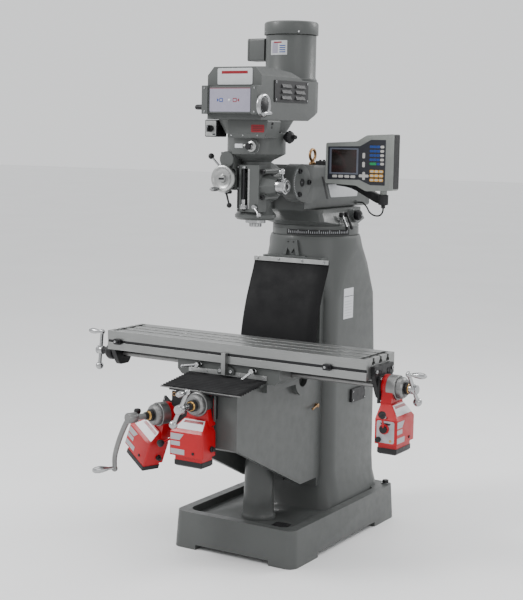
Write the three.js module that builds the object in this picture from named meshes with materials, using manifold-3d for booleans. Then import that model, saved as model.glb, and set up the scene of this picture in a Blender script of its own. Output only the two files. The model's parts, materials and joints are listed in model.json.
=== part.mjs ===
// Vertical turret milling machine: knee-and-column base, swivelling turret and ram,
// nodding and tilting belt-driven head, powered table, saddle and knee, and a readout.
// Millimetres. X to the operator's right, Y away from the operator, Z up.
// Shapes are drawn in machine coordinates, with the origin on the floor below the
// turret's axis, and the whole machine is then moved so that its box is centred.
import * as THREE from 'three';
import Module from 'manifold-3d';
import { mergeVertices } from 'three/addons/utils/BufferGeometryUtils.js';

const wasm = await Module();
wasm.setup();

// ---- Driving dimensions -------------------------------------------------------

const GAP = 0.3; // clearance between pieces that touch
const BOX_CENTRE = [22, -416]; // middle of the machine's box, seen from above

const BASE = { half: 298, front: -682, rear: 294, top: 162, draft: 8, corner: 42 };
const TRAY = { half: 256, front: -642, rear: 178, floor: 129 };
const PAD_HEIGHT = 22;
const COLUMN = { half: 200, front: -187, top: 1357, topRadius: 210 };
const WAY = { half: 150, front: -216, bottom: 235, top: 1266 };
const SCREW = { y: -466, radius: 16, bottom: 150 };
const PEDESTAL = { radius: 67, top: 470 };

const KNEE = { half: 150, front: -900, top: 764, frontBottom: 529, rearBottom: 275 };
const SADDLE = { half: 252, front: -740, rear: -338, wing: 785, top: 849 };
const TABLE = { left: -619, right: 651, front: -754, rear: -500, bottom: 854, top: 938 };
const SLOT = { pitch: 64, throat: 16, throatDepth: 16, head: 28, headDepth: 12 };
const TABLE_SCREW = { y: -629, z: 820, radius: 13 };
const CROSS_SCREW_Z = 716;
const COVER = { half: 195, rearZ: 800, frontY: -950, frontZ: 773, thickness: 8 };
const SHEET = { half: 190, top: 1255, thickness: 4 };

const TURRET = { radius: 197, ring: 1402, guideHalf: 138, guideTop: 1478 };
const RAM = { half: 105, top: 1672, bottom: 1478.3, front: -300, rear: 332 };
const NOD = { y: -357, z: 1602, cheekRadius: 80, cheekInner: 62, cheekOuter: 120 };
const QUILL = { y: -536, radius: 43, bore: 45, bottom: 1432, top: 1660 };
const NOSE_BOTTOM = 1415;
const GEAR_HOUSING = { bottom: 1702, waist: 1813, top: 1865, radius: 124, rear: -446 };
const BELT_HOUSING = { half: 130, front: -722, rear: -147, top: 2083, rearTop: 2034 };
const MOTOR = { y: -262, radius: 110, capRadius: 118, capBottom: 2234, top: 2292 };
const DISPLAY = { x: 178, y: -250, depth: 55, width: 324 };
const ARM_PIVOT = [446, -222];

const FINE = 20; // sides of a large round part
const SMALL = 12; // sides of a small round part

// ---- Solids -------------------------------------------------------------------

// A closed geometry as a solid, with shared vertices merged and empty faces left out.
function solid(geometry) {
  const source = geometry.index ? geometry.toNonIndexed() : geometry;
  const bare = new THREE.BufferGeometry();
  bare.setAttribute('position', source.getAttribute('position').clone());
  const merged = mergeVertices(bare, 1e-3);
  const index = merged.index.array;
  const faces = [];
  for (let i = 0; i < index.length; i += 3) {
    const [a, b, c] = [index[i], index[i + 1], index[i + 2]];
    if (a !== b && b !== c && c !== a) faces.push(a, b, c);
  }
  const mesh = new wasm.Mesh({
    numProp: 3,
    vertProperties: Float32Array.from(merged.getAttribute('position').array),
    triVerts: Uint32Array.from(faces),
  });
  mesh.merge();
  return new wasm.Manifold(mesh);
}

const join = (...parts) => parts.reduce((whole, part) => whole.add(part));
const cut = (body, ...tools) => tools.reduce((rest, tool) => rest.subtract(tool), body);

function block([x0, y0, z0], [x1, y1, z1]) {
  const box = new THREE.BoxGeometry(x1 - x0, y1 - y0, z1 - z0);
  box.translate((x0 + x1) / 2, (y0 + y1) / 2, (z0 + z1) / 2);
  return solid(box);
}

// Turns +Y onto a direction and moves the origin to a point.
function aim(geometry, point, direction) {
  const up = new THREE.Vector3(0, 1, 0);
  const along = new THREE.Vector3(...direction).normalize();
  geometry.applyQuaternion(new THREE.Quaternion().setFromUnitVectors(up, along));
  geometry.translate(...point);
  return geometry;
}

// A rod or cone from a to b.
function rod(a, b, radius, endRadius = radius, sides = SMALL) {
  const from = new THREE.Vector3(...a);
  const along = new THREE.Vector3(...b).sub(from);
  const shape = new THREE.CylinderGeometry(endRadius, radius, along.length(), sides);
  shape.translate(0, along.length() / 2, 0);
  return solid(aim(shape, a, along.toArray()));
}

// A turned piece: profile points are [radius, distance along the direction].
function turned(profile, point, direction, sides = SMALL) {
  const points = profile.map(([radius, along]) => new THREE.Vector2(radius, along));
  return solid(aim(new THREE.LatheGeometry(points, sides), point, direction));
}

function ball(centre, radius) {
  const shape = new THREE.SphereGeometry(radius, 8, 5);
  shape.translate(...centre);
  return solid(shape);
}

// A flat outline pushed along one axis; the outline's two numbers are the other
// two coordinates, in X, Y, Z order.
function extruded(outline, axis, low, high) {
  const shape = new THREE.Shape(outline.map(([a, b]) => new THREE.Vector2(a, b)));
  const depth = high - low;
  const geometry = new THREE.ExtrudeGeometry(shape, { depth, bevelEnabled: false });
  const basis = new THREE.Matrix4();
  const [x, y, z] = [
    new THREE.Vector3(1, 0, 0), new THREE.Vector3(0, 1, 0), new THREE.Vector3(0, 0, 1),
  ];
  if (axis === 'x') basis.makeBasis(y, z, x).setPosition(low, 0, 0);
  if (axis === 'y') basis.makeBasis(x, z, y.negate()).setPosition(0, high, 0);
  if (axis === 'z') basis.makeBasis(x, y, z).setPosition(0, 0, low);
  return solid(geometry.applyMatrix4(basis));
}

// An outline with each corner replaced by an arc-like curve of three chords.
function rounded(outline, radius) {
  return outline.flatMap((corner, i) => {
    const point = new THREE.Vector2(...corner);
    const before = new THREE.Vector2(...outline.at(i - 1));
    const after = new THREE.Vector2(...outline[(i + 1) % outline.length]);
    const start = before.sub(point).setLength(radius).add(point);
    const end = after.sub(point).setLength(radius).add(point);
    const curve = new THREE.QuadraticBezierCurve(start, point, end);
    return curve.getPoints(3).map((p) => [p.x, p.y]);
  });
}

const rectangle = (x0, y0, x1, y1) => [[x0, y0], [x1, y0], [x1, y1], [x0, y1]];

// The ring of points of a rounded rectangle at one height.
function ringAt({ x, front, rear, corner, z }, chords = 5) {
  const centres = [
    [x - corner, rear - corner], [corner - x, rear - corner],
    [corner - x, front + corner], [x - corner, front + corner],
  ];
  return centres.flatMap(([cx, cy], quarter) => {
    const points = [];
    for (let i = 0; i <= chords; i += 1) {
      const angle = ((quarter + i / chords) * Math.PI) / 2;
      points.push([cx + corner * Math.cos(angle), cy + corner * Math.sin(angle), z]);
    }
    return points;
  });
}

// A body through a stack of rings that all have the same number of points.
function lofted(rings) {
  const count = rings[0].length;
  const positions = rings.flat(2);
  const faces = [];
  rings.slice(1).forEach((_, level) => {
    for (let i = 0; i < count; i += 1) {
      const next = (i + 1) % count;
      const [a, b] = [level * count + i, level * count + next];
      faces.push(a, b, b + count, a, b + count, a + count);
    }
  });
  for (const [level, flip] of [[0, true], [rings.length - 1, false]]) {
    const middle = positions.length / 3;
    const sum = [0, 0, 0];
    rings[level].forEach((point) => point.forEach((value, k) => { sum[k] += value; }));
    positions.push(...sum.map((value) => value / count));
    for (let i = 0; i < count; i += 1) {
      const [a, b] = [level * count + i, level * count + ((i + 1) % count)];
      faces.push(middle, ...(flip ? [b, a] : [a, b]));
    }
  }
  const geometry = new THREE.BufferGeometry();
  geometry.setAttribute('position', new THREE.Float32BufferAttribute(positions, 3));
  geometry.setIndex(faces);
  return solid(geometry);
}

// A round or rectangular section carried along a smooth curve.
function swept(points, width, height = 0, steps = 16) {
  const path = new THREE.CatmullRomCurve3(points.map((p) => new THREE.Vector3(...p)));
  const section = new THREE.Shape();
  if (height) {
    section.setFromPoints(
      rectangle(-width / 2, -height / 2, width / 2, height / 2)
        .map((p) => new THREE.Vector2(...p)),
    );
  } else {
    section.absellipse(0, 0, width / 2, width / 2, 0, 2 * Math.PI);
  }
  const options = { steps, extrudePath: path, curveSegments: 4, bevelEnabled: false };
  return solid(new THREE.ExtrudeGeometry(section, options));
}

// ---- The assembly -------------------------------------------------------------

const machine = new THREE.Group();
machine.position.set(-BOX_CENTRE[0], -BOX_CENTRE[1], 0);

const finish = (color, roughness, metalness) => ({ color, roughness, metalness });
const FINISHES = {
  grey_paint: finish(0x6d706e, 0.45, 0.1),
  machined_iron: finish(0xa2a4a3, 0.35, 0.85),
  bright_steel: finish(0xd2d4d6, 0.2, 1.0),
  satin_aluminium: finish(0xc4c6c8, 0.35, 0.9),
  black_oxide: finish(0x1c1d1e, 0.5, 0.4),
  black_plastic: finish(0x17181a, 0.4, 0.0),
  black_rubber: finish(0x141516, 0.8, 0.0),
  red_paint: finish(0xc8102e, 0.35, 0.0),
  bronze: finish(0xa8743c, 0.3, 0.9),
  readout_grey: finish(0x9a9d9b, 0.5, 0.0),
};

function add(name, part, finishName) {
  const { vertProperties, triVerts } = part.getMesh();
  const geometry = new THREE.BufferGeometry();
  geometry.setAttribute('position', new THREE.BufferAttribute(vertProperties, 3));
  geometry.setIndex(new THREE.BufferAttribute(triVerts, 1));
  geometry.computeVertexNormals();
  const mesh = new THREE.Mesh(
    geometry, new THREE.MeshStandardMaterial(FINISHES[finishName]),
  );
  mesh.name = name;
  machine.add(mesh);
}

// ---- Base and column ----------------------------------------------------------

function columnBase() {
  const slabRing = (grow, z) => ringAt({
    x: BASE.half + grow, front: BASE.front - grow, rear: BASE.rear + grow,
    corner: BASE.corner, z,
  });
  const slab = lofted([slabRing(BASE.draft, 0), slabRing(0, BASE.top)]);
  const tray = lofted([TRAY.floor, BASE.top + 1].map((z) => ringAt({
    x: TRAY.half, front: TRAY.front, rear: TRAY.rear, corner: 48, z,
  })));
  const sideways = block([-400, -470, -1], [400, 80, PAD_HEIGHT]);
  const lengthways = block([-185, -800, -1], [185, 400, PAD_HEIGHT]);
  const boltHoles = [-1, 1].map((side) => (
    rod([side * 268, 262, -1], [side * 268, 262, BASE.top + 1], 11)));
  // Half width, front, rear, corner radius and height of each section of the column.
  const sections = [
    [252, -240, 288, 90, TRAY.floor - 20], [232, -214, 286, 80, 172],
    [212, -196, 286, 70, 225], [202, -188, 286, 60, 300],
    [COLUMN.half, COLUMN.front, 276, 55, 800], [COLUMN.half, COLUMN.front, 256, 62, 1080],
    [203, -196, 236, 130, 1220], [207, -205, 220, 190, 1300],
    [COLUMN.topRadius, -210, COLUMN.topRadius, 209, 1340],
    [COLUMN.topRadius - 6, -204, COLUMN.topRadius - 6, 203, COLUMN.top],
  ];
  const column = lofted(sections.map(([x, front, rear, corner, z]) => (
    ringAt({ x, front, rear, corner, z }))));
  const way = block([-WAY.half, WAY.front, WAY.bottom], [WAY.half, -150, WAY.top]);
  const groove = block(
    [-22, WAY.front - 1, WAY.bottom - 1], [22, WAY.front + 16, WAY.top - 40],
  );
  const body = join(cut(slab, tray), column, way);
  return cut(body, sideways, lengthways, groove, ...boltHoles);
}
add('column_base', columnBase(), 'grey_paint');

function screwPedestal() {
  const bottom = TRAY.floor + GAP;
  const bore = SCREW.radius + 4;
  const r = PEDESTAL.radius;
  const profile = [
    [bore, 0], [r + 9, 0], [r + 9, 14], [r + 2, 22], [r, 60], [r - 6, 260],
    [r - 14, PEDESTAL.top - bottom], [bore, PEDESTAL.top - bottom], [bore, 0],
  ];
  return turned(profile, [0, SCREW.y, bottom], [0, 0, 1], FINE);
}
add('screw_pedestal', screwPedestal(), 'grey_paint');

const BAR_BACK = WAY.front - GAP;
add('rear_cover_bar', block(
  [-SHEET.half, BAR_BACK - 13, SHEET.top - 16], [SHEET.half, BAR_BACK - 7, SHEET.top + 4],
), 'satin_aluminium');

// The rubber sheet hangs from its bar and swings out towards the table at its hem.
function rearWayCover() {
  const back = [[-218, SHEET.top], [-218, 1236], [-228, 1200], [-252, 1140], [-282, 1060],
    [-308, 960], [-324, 858]];
  const front = back.map(([y, z]) => [y - SHEET.thickness, z]).reverse();
  return extruded([...back, ...front], 'x', -SHEET.half, SHEET.half);
}
add('rear_way_cover', rearWayCover(), 'black_rubber');

// ---- Turret and ram -----------------------------------------------------------

function turret() {
  const circle = (radius, z) => ringAt({
    x: radius, front: -radius, rear: radius, corner: radius - 1, z,
  });
  const { guideHalf, guideTop, radius, ring } = TURRET;
  const guide = (grow, z) => ringAt({
    x: guideHalf + grow, front: -206 - grow, rear: 196, corner: 24, z,
  });
  const plate = lofted([
    circle(radius, COLUMN.top + GAP), circle(radius, ring), circle(radius - 9, ring + 14),
  ]);
  const shoulders = lofted([circle(188, ring), guide(22, ring + 24), guide(0, 1462),
    guide(0, guideTop)]);
  const boss = rod([90, 68, 1446], [168, 68, 1446], 32, 26, 16);
  const knobBore = rod([130, 68, 1446], [180, 68, 1446], 9);
  return cut(join(plate, shoulders, boss), knobBore);
}
add('turret', turret(), 'grey_paint');

add('ram_pinion_knob', turned(
  [[0, -26], [8, -26], [8, 0.5], [20, 0.5], [24, 12], [22, 24], [12, 32], [0, 34]],
  [168, 68, 1446], [1, 0, 0], 16,
), 'black_plastic');

// Two clamp levers on the turret's right side; each turns on its own stub.
['front', 'rear'].forEach((place, i) => {
  const y = -72 + 46 * i;
  const hub = rod([162.5, y, 1452], [180, y, 1452], 11);
  const handle = rod([176, y, 1452], [209, y - 20, 1396], 5, 7, 10);
  add(`ram_lock_lever_${place}`, join(hub, handle), 'black_oxide');
});

function ram() {
  const { half, top, bottom, front, rear } = RAM;
  const flat = rectangle(-half, bottom, half, top);
  const trunk = extruded(rounded(flat, 16), 'y', front, rear);
  const neck = extruded(
    [[front, 1510], [NOD.y, 1522], [NOD.y, 1682], [front, 1676]],
    'x', -NOD.cheekOuter, NOD.cheekOuter,
  );
  const nose = extruded(
    [[-262, 1512], [front - 1, 1510], [front - 1, 1677], [-246, 1674]],
    'x', -NOD.cheekOuter, NOD.cheekOuter,
  );
  const disc = rod(
    [-NOD.cheekOuter, NOD.y, NOD.z], [NOD.cheekOuter, NOD.y, NOD.z],
    NOD.cheekRadius, NOD.cheekRadius, FINE,
  );
  const slot = block([-NOD.cheekInner, -460, 1440], [NOD.cheekInner, -282, 1720]);
  const rearPocket = block([-70, 190, 1520], [70, 340, 1640]);
  const gland = rod([half - 2, 188, 1498], [half + 11, 188, 1498], 10, 7);
  return cut(join(trunk, neck, nose, disc, gland), slot, rearPocket);
}
add('ram', ram(), 'grey_paint');

function liftingEye() {
  const base = rod([0, -45, RAM.top + GAP], [0, -45, RAM.top + 12], 16);
  const torus = new THREE.TorusGeometry(25, 6.5, 6, 16);
  torus.rotateY(Math.PI / 2);
  torus.translate(0, -45, 1716);
  return join(base, rod([0, -45, RAM.top + 8], [0, -45, 1695], 9), solid(torus));
}
add('lifting_eye', liftingEye(), 'bronze');

function displayArm() {
  const inner = RAM.half + GAP;
  const clamp = join(
    block([inner, -70, 1590], [inner + 28, 14, RAM.top + 18]),
    block([30, -70, RAM.top + GAP], [inner + 28, -12, RAM.top + 18]),
  );
  const start = [inner + 18, -28, 1600];
  const arm = swept(
    [start, [210, -60, 1590], [330, -120, 1552], [...ARM_PIVOT, 1540]], 16, 44, 12,
  );
  const boss = rod([...ARM_PIVOT, 1516], [...ARM_PIVOT, 1558], 21, 21, 20);
  const gland = rod([...ARM_PIVOT, 1508], [...ARM_PIVOT, 1520], 7, 10);
  return join(clamp, arm, boss, gland);
}
add('display_arm', displayArm(), 'black_plastic');

function display() {
  const { x, y, depth, width } = DISPLAY;
  const outline = [
    [x, 1600], [x + 148, 1594], [x + 196, 1571], [x + width, 1577],
    [x + width, 1815], [x + 196, 1809], [x + 148, 1782], [x, 1774],
  ];
  const housing = extruded(rounded(outline, 8), 'y', y, y + depth);
  const foot = rod([...ARM_PIVOT, 1558.5], [...ARM_PIVOT, 1590], 15);
  return join(housing, foot);
}
add('display', display(), 'readout_grey');

const CABLE_ROUTE = [
  [446, -222, 1507.7], [446, -221.5, 1497], [442, -217, 1486], [432, -205, 1474],
  [416, -186, 1462], [396, -161, 1453], [372, -131, 1447], [346, -98, 1445],
  [318, -62, 1446], [290, -24, 1450], [264, 14, 1458], [240, 50, 1468],
  [218, 84, 1479], [194, 118, 1487], [168, 154, 1493], [148, 178, 1497],
  [132, 187.5, 1498], [116.5, 188, 1498],
];
add('display_cable', swept(CABLE_ROUTE, 7, 0, 18), 'black_rubber');

// ---- Head ---------------------------------------------------------------------

const KNUCKLE_FACE = -466;

function knuckle() {
  const { y, z, cheekInner } = NOD;
  const half = cheekInner - GAP;
  const eye = rod([-half, y, z], [half, y, z], 58, 58, FINE);
  const neck = block([-half + 4, -455, z - 48], [half - 4, y, z + 48]);
  const flange = rod([0, KNUCKLE_FACE, z], [0, -448, z], 88, 88, FINE);
  return join(eye, neck, flange);
}
add('knuckle', knuckle(), 'grey_paint');

function headCasting() {
  const axis = (z) => [0, QUILL.y, z];
  const shell = turned(
    [[0, 1447], [78, 1447], [88, 1456], [88, 1468], [74, 1482], [66, 1496], [64, 1690],
      [78, GEAR_HOUSING.bottom - GAP], [0, GEAR_HOUSING.bottom - GAP]],
    [0, QUILL.y, 0], [0, 0, 1], FINE,
  );
  const frontFace = block([-38, -624, 1482], [66, -560, 1678]);
  const slot = block([-20, -640, 1492], [12, -574, 1662]);
  const rearFlange = rod(
    [0, -520, NOD.z], [0, KNUCKLE_FACE - GAP, NOD.z], 84, 88, FINE,
  );
  const rightBoss = rod([40, -566, 1592], [128, -566, 1592], 58, 34, 8);
  const leftBoss = rod([-40, -566, 1619], [-112, -566, 1619], 52, 40, 12);
  const feedBox = block([-112, -636, 1572], [-42, -560, 1664]);
  const clampBosses = [1546, 1652].map((z) => (
    rod([76, -606, z], [76, -500, z], 13, 13, 12)));
  const outside = join(shell, frontFace, rearFlange, rightBoss, leftBoss, feedBox,
    ...clampBosses);
  const bore = rod(axis(1400), axis(1672), QUILL.bore, QUILL.bore, FINE);
  const splineHole = rod(axis(1600), axis(1760), 18, 18);
  const pinionBore = rod([60, -566, 1592], [140, -566, 1592], 12);
  const handwheelBore = rod([-88, -650, 1619], [-88, -600, 1619], 8);
  return cut(outside, slot, bore, splineHole, pinionBore, handwheelBore);
}
add('head_casting', headCasting(), 'grey_paint');

function gearHousing() {
  const { bottom, waist, top, radius, rear } = GEAR_HOUSING;
  const drum = turned(
    [[0, bottom], [82, bottom], [radius, bottom + 22], [radius, waist], [0, waist]],
    [0, QUILL.y, 0], [0, 0, 1], FINE,
  );
  const rearCut = block([-200, rear, bottom - 10], [200, 0, waist - 4]);
  const flare = lofted([
    ringAt({ x: 108, front: -652, rear: -440, corner: 60, z: waist - 6 }),
    ringAt({ x: 126, front: -676, rear: -410, corner: 50, z: top - GAP }),
  ]);
  const splineHole = rod([0, QUILL.y, bottom - 20], [0, QUILL.y, top + 20], 18);
  return cut(join(cut(drum, rearCut), flare), splineHole);
}
add('gear_housing', gearHousing(), 'grey_paint');

const PULLEY_Z = [1936, 1996];

function beltHousing() {
  const { half, front, rear, top, rearTop } = BELT_HOUSING;
  const { top: bottom } = GEAR_HOUSING;
  const side = [
    [front, bottom], [-330, bottom], [rear, 1938], [rear, rearTop], [-384, rearTop],
    [-452, 2066], [-640, top], [front, top - 4],
  ];
  const face = [
    [-half, bottom], [half, bottom], [half, 2044], [half - 34, top], [34 - half, top],
    [-half, 2044],
  ];
  const plan = ringAt({ x: half, front: front - 20, rear, corner: half - 1, z: 0 })
    .map(([x, y]) => [x, y])
    .filter(([, y]) => y > -420);
  const footprint = [...plan, [-half, front - 20], [half, front - 20]];
  const outside = extruded(side, 'x', -half, half)
    .intersect(extruded(face, 'y', front - 10, rear + 10))
    .intersect(extruded(footprint, 'z', bottom - 1, top + 1));
  const inner = footprint.map(([x, y]) => [x * 0.91, Math.max(y, front + 12) - 8]);
  const cavity = extruded(inner, 'z', bottom + 10, 2024)
    .intersect(extruded([
      [front + 8, bottom + 10], [-336, bottom + 10], [rear - 8, 1948],
      [rear - 8, 2024], [front + 8, 2024],
    ], 'x', -half, half));
  const window = block([half - 30, -606, 1954], [half + 10, -356, 2016]);
  const spindleHole = rod([0, QUILL.y, bottom - 10], [0, QUILL.y, bottom + 30], 40, 40, 20);
  const shaftHole = rod([0, MOTOR.y, 2000], [0, MOTOR.y, rearTop + 10], 18);
  return cut(outside, cavity, window, spindleHole, shaftHole);
}
add('belt_housing', beltHousing(), 'grey_paint');

// The front frame: a plate between two thick side rails.
function speedPlate() {
  const back = BELT_HOUSING.front - GAP;
  const web = block([-110, back - 30, 1890], [110, back, 1998]);
  const rails = [-1, 1].map((side) => {
    const [low, high] = side < 0 ? [-134, -106] : [106, 134];
    return block([low, back - 38, 1886], [high, back, 2002]);
  });
  const shaftHole = rod([100, -744, 1922], [140, -744, 1922], 8);
  return cut(join(web, ...rails), shaftHole);
}
add('speed_plate', speedPlate(), 'grey_paint');

function ventPlate() {
  const left = BELT_HOUSING.half + GAP;
  return extruded(rounded(rectangle(-622, 1940, -340, 2029), 6), 'x', left, left + 4);
}
add('vent_plate', ventPlate(), 'black_oxide');

function motor() {
  const { y, radius, capBottom } = MOTOR;
  const bottom = BELT_HOUSING.rearTop + GAP;
  const profile = [
    [18, 0], [radius + 6, 0], [radius + 6, 12], [radius, 14], [radius, capBottom - bottom],
    [0, capBottom - bottom], [0, 50], [18, 50], [18, 0],
  ];
  return turned(profile, [0, y, bottom], [0, 0, 1], 28);
}
add('motor', motor(), 'grey_paint');

add('motor_fan_cover', turned(
  [[0, 0], [MOTOR.capRadius, 0], [MOTOR.capRadius, 48], [MOTOR.capRadius - 8, 56],
    [0, 58 - GAP]],
  [0, MOTOR.y, MOTOR.capBottom + GAP], [0, 0, 1], 28,
), 'grey_paint');

function junctionBox() {
  const lid = extruded(rounded(rectangle(-306, 2125, -218, 2223), 12), 'x', -196, -150);
  const stub = block([-151, -290, 2140], [-(MOTOR.radius + GAP), -234, 2208]);
  return join(lid, stub);
}
add('motor_junction_box', junctionBox(), 'black_plastic');

function switchBox() {
  const body = extruded(rounded(rectangle(-188, 1792, -128, 1864), 6), 'y', -650, -574);
  const bracket = block([-130, -600, 1806], [-118, -580, 1834]);
  const knobHole = rod([-160, -655, 1827], [-160, -630, 1827], 5);
  return cut(join(body, bracket), knobHole);
}
add('switch_box', switchBox(), 'black_plastic');

function switchKnob() {
  const face = -650 - GAP;
  const dial = rod([-160, face, 1827], [-160, face - 12, 1827], 15, 13);
  const grip = block([-164, face - 26, 1813], [-156, face - 10, 1841]);
  return join(dial, grip, rod([-160, face, 1827], [-160, face + 15, 1827], 4, 4, 8));
}
add('switch_knob', switchKnob(), 'black_plastic');

function speedHandwheel() {
  const centre = [138, -744, 1922];
  const wheel = turned(
    [[0, 0], [14, 0], [14, 8], [40, 8], [46, 10], [48, 18], [44, 26], [38, 24], [14, 18],
      [12, 28], [0, 28]],
    centre, [1, 0, 0], FINE,
  );
  const shaft = rod([108, -744, 1922], [140, -744, 1922], 7, 7, 12);
  const handle = turned([[0, 0], [5, 0], [6, 6], [9, 30], [7, 44], [0, 47]],
    [160, -744 - 22, 1922 - 32], [1, 0, 0], 8);
  return join(wheel, shaft, handle);
}
add('speed_handwheel', speedHandwheel(), 'satin_aluminium');

function brakeLever() {
  const pivot = [-141, -690, 1915];
  return join(ball(pivot, 10), rod(pivot, [-164, -690, 1915], 6),
    turned([[0, 0], [9, 0], [11, 8], [11, 44], [8, 50], [0, 50]],
      [-160, -690, 1915], [-1, 0, 0], 14));
}
add('brake_lever', brakeLever(), 'black_plastic');

// The range lever's hub sits square on the front of the gear drum.
const RANGE_PIVOT = [52, -661, 1756];
function rangeLever() {
  const [x, y, z] = RANGE_PIVOT;
  const hub = turned([[0, 0], [23, 0], [23, 6], [14, 10], [12, 24], [0, 26]],
    [x, y, z], [0, -1, 0], 20);
  return join(hub, rod([x, y - 8, z], [x - 34, y - 8, z + 4], 6, 5, 8));
}
add('range_lever', rangeLever(), 'satin_aluminium');

function feedKnob() {
  const start = [127, -516, 1796];
  return turned([[0, 0], [14, 0], [16, 12], [24, 16], [24, 34], [18, 40], [9, 42], [9, 62],
    [0, 62]], start, [1, -0.25, 0], 12);
}
add('feed_knob', feedKnob(), 'black_plastic');

function feedHandwheel() {
  const [x, z] = [-88, 1619];
  const wheel = turned(
    [[0, 0], [18, 0], [18, 10], [46, 12], [54, 8], [58, 14], [58, 24], [52, 30], [44, 26],
      [18, 20], [14, 34], [0, 34]],
    [x, -638, z], [0, -1, 0], FINE,
  );
  const shaft = rod([x, -604, z], [x, -640, z], 7, 7, 12);
  const handle = turned([[0, 0], [5, 0], [6, 8], [10, 34], [8, 56], [0, 60]],
    [x - 18, -658, z - 44], [-0.12, -1, 0], 8);
  return join(wheel, shaft, handle);
}
add('feed_handwheel', feedHandwheel(), 'satin_aluminium');

function tripLever() {
  const hub = rod([-88, -637, 1562], [-88, -600, 1562], 9);
  const arm = rod([-86, -632, 1558], [-62, -650, 1512], 4.5, 4, 8);
  return join(hub, arm, ball([-60, -652, 1508], 11));
}
add('trip_lever', tripLever(), 'black_oxide');

function quill() {
  const { y, radius, bottom, top } = QUILL;
  const body = rod([0, y, bottom], [0, y, top], radius, radius, FINE);
  const bore = rod([0, y, bottom - 5], [0, y, top + 5], 22, 22, 20);
  const collar = rod([0, y, bottom - 1], [0, y, bottom + 20], 27, 27, 24);
  const stopBlock = block([-16, -604, 1622], [8, -570, 1646]);
  return cut(join(body, stopBlock), bore, collar);
}
add('quill', quill(), 'bright_steel');

function spindle() {
  const { y, bottom } = QUILL;
  const nose = turned(
    [[13, 0], [25, 0], [26, 3], [26, 36 - (bottom - NOSE_BOTTOM)], [26, 34], [20, 38],
      [20, 235], [12.5, 240], [12.5, 585], [0, 585], [0, 92], [10, 92], [13, 0]],
    [0, y, NOSE_BOTTOM], [0, 0, 1], 24,
  );
  return nose;
}
add('spindle', spindle(), 'bright_steel');

add('depth_stop_nut', join(
  rod([-4, -628, 1494], [-4, -628, 1516], 13, 13, 18),
  rod([-4, -628, 1516], [-4, -628, 1534], 8, 8, 12),
), 'bright_steel');

function quillLockLever() {
  const seat = rod([52, -624.3, 1505], [52, -642, 1505], 11, 9);
  const arm = rod([53, -636, 1503], [82, -650, 1478], 4.5, 4, 8);
  return join(seat, arm, ball([86, -652, 1474], 10));
}

add('quill_lock_lever', quillLockLever(), 'bright_steel');

function quillHandle() {
  const centre = [128.5, -566, 1592];
  const hub = turned(
    [[0, -50], [10, -50], [10, 0], [30, 0], [34, 8], [34, 34], [26, 44], [0, 44]],
    centre, [1, 0, 0], 24,
  );
  const arm = rod([156, -572, 1602], [168, -608, 1644], 5, 4.5, 10);
  return join(hub, arm, ball([171, -616, 1654], 14));
}
add('quill_handle', quillHandle(), 'bright_steel');

function feedEngageLever() {
  const hub = rod([-112.5, -592, 1640], [-132, -592, 1640], 12);
  return join(hub, rod([-124, -592, 1644], [-186, -592, 1704], 5, 4.5, 8),
    ball([-192, -592, 1710], 13));
}
add('feed_engage_lever', feedEngageLever(), 'black_oxide');

// ---- Belt drive inside the head -----------------------------------------------

const pulley = (radius, bore, y) => turned(
  [[bore, 0], [radius + 6, 0], [radius + 6, 8], [radius, 14], [radius, 46],
    [radius + 6, 52], [radius + 6, 60], [bore, 60], [bore, 0]],
  [0, y, PULLEY_Z[0]], [0, 0, 1], 18,
);
const SPINDLE_PULLEY = 76;
const MOTOR_PULLEY = 48;
add('spindle_pulley', pulley(SPINDLE_PULLEY, 14, QUILL.y), 'machined_iron');
add('motor_pulley', join(
  pulley(MOTOR_PULLEY, 8, MOTOR.y),
  rod([0, MOTOR.y, PULLEY_Z[0]], [0, MOTOR.y, 2078], 12),
), 'machined_iron');

// The outline of a belt run round both pulleys, clear of them by the given amount.
function beltOutline(clear) {
  const outline = [];
  const ends = [[QUILL.y, SPINDLE_PULLEY, Math.PI], [MOTOR.y, MOTOR_PULLEY, 0]];
  for (const [y, radius, start] of ends) {
    for (let i = 0; i <= 12; i += 1) {
      const angle = start + (i / 12) * Math.PI;
      const reach = radius + clear;
      outline.push([reach * Math.cos(angle), y + reach * Math.sin(angle)]);
    }
  }
  return outline;
}
add('drive_belt', cut(
  extruded(beltOutline(9), 'z', PULLEY_Z[0] + 16, PULLEY_Z[1] - 16),
  extruded(beltOutline(1), 'z', PULLEY_Z[0], PULLEY_Z[1]),
), 'black_rubber');

// ---- Knee ---------------------------------------------------------------------

// The knee crank's shaft points from the elevating screw to the front left corner.
const CRANK_HEIGHT = 652;
const CRANK_AXIS = new THREE.Vector3(-187, -960 - SCREW.y, 0).normalize();
const crankPoint = (distance, drop = 0) => [
  CRANK_AXIS.x * distance, SCREW.y + CRANK_AXIS.y * distance, CRANK_HEIGHT - drop,
];

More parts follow.
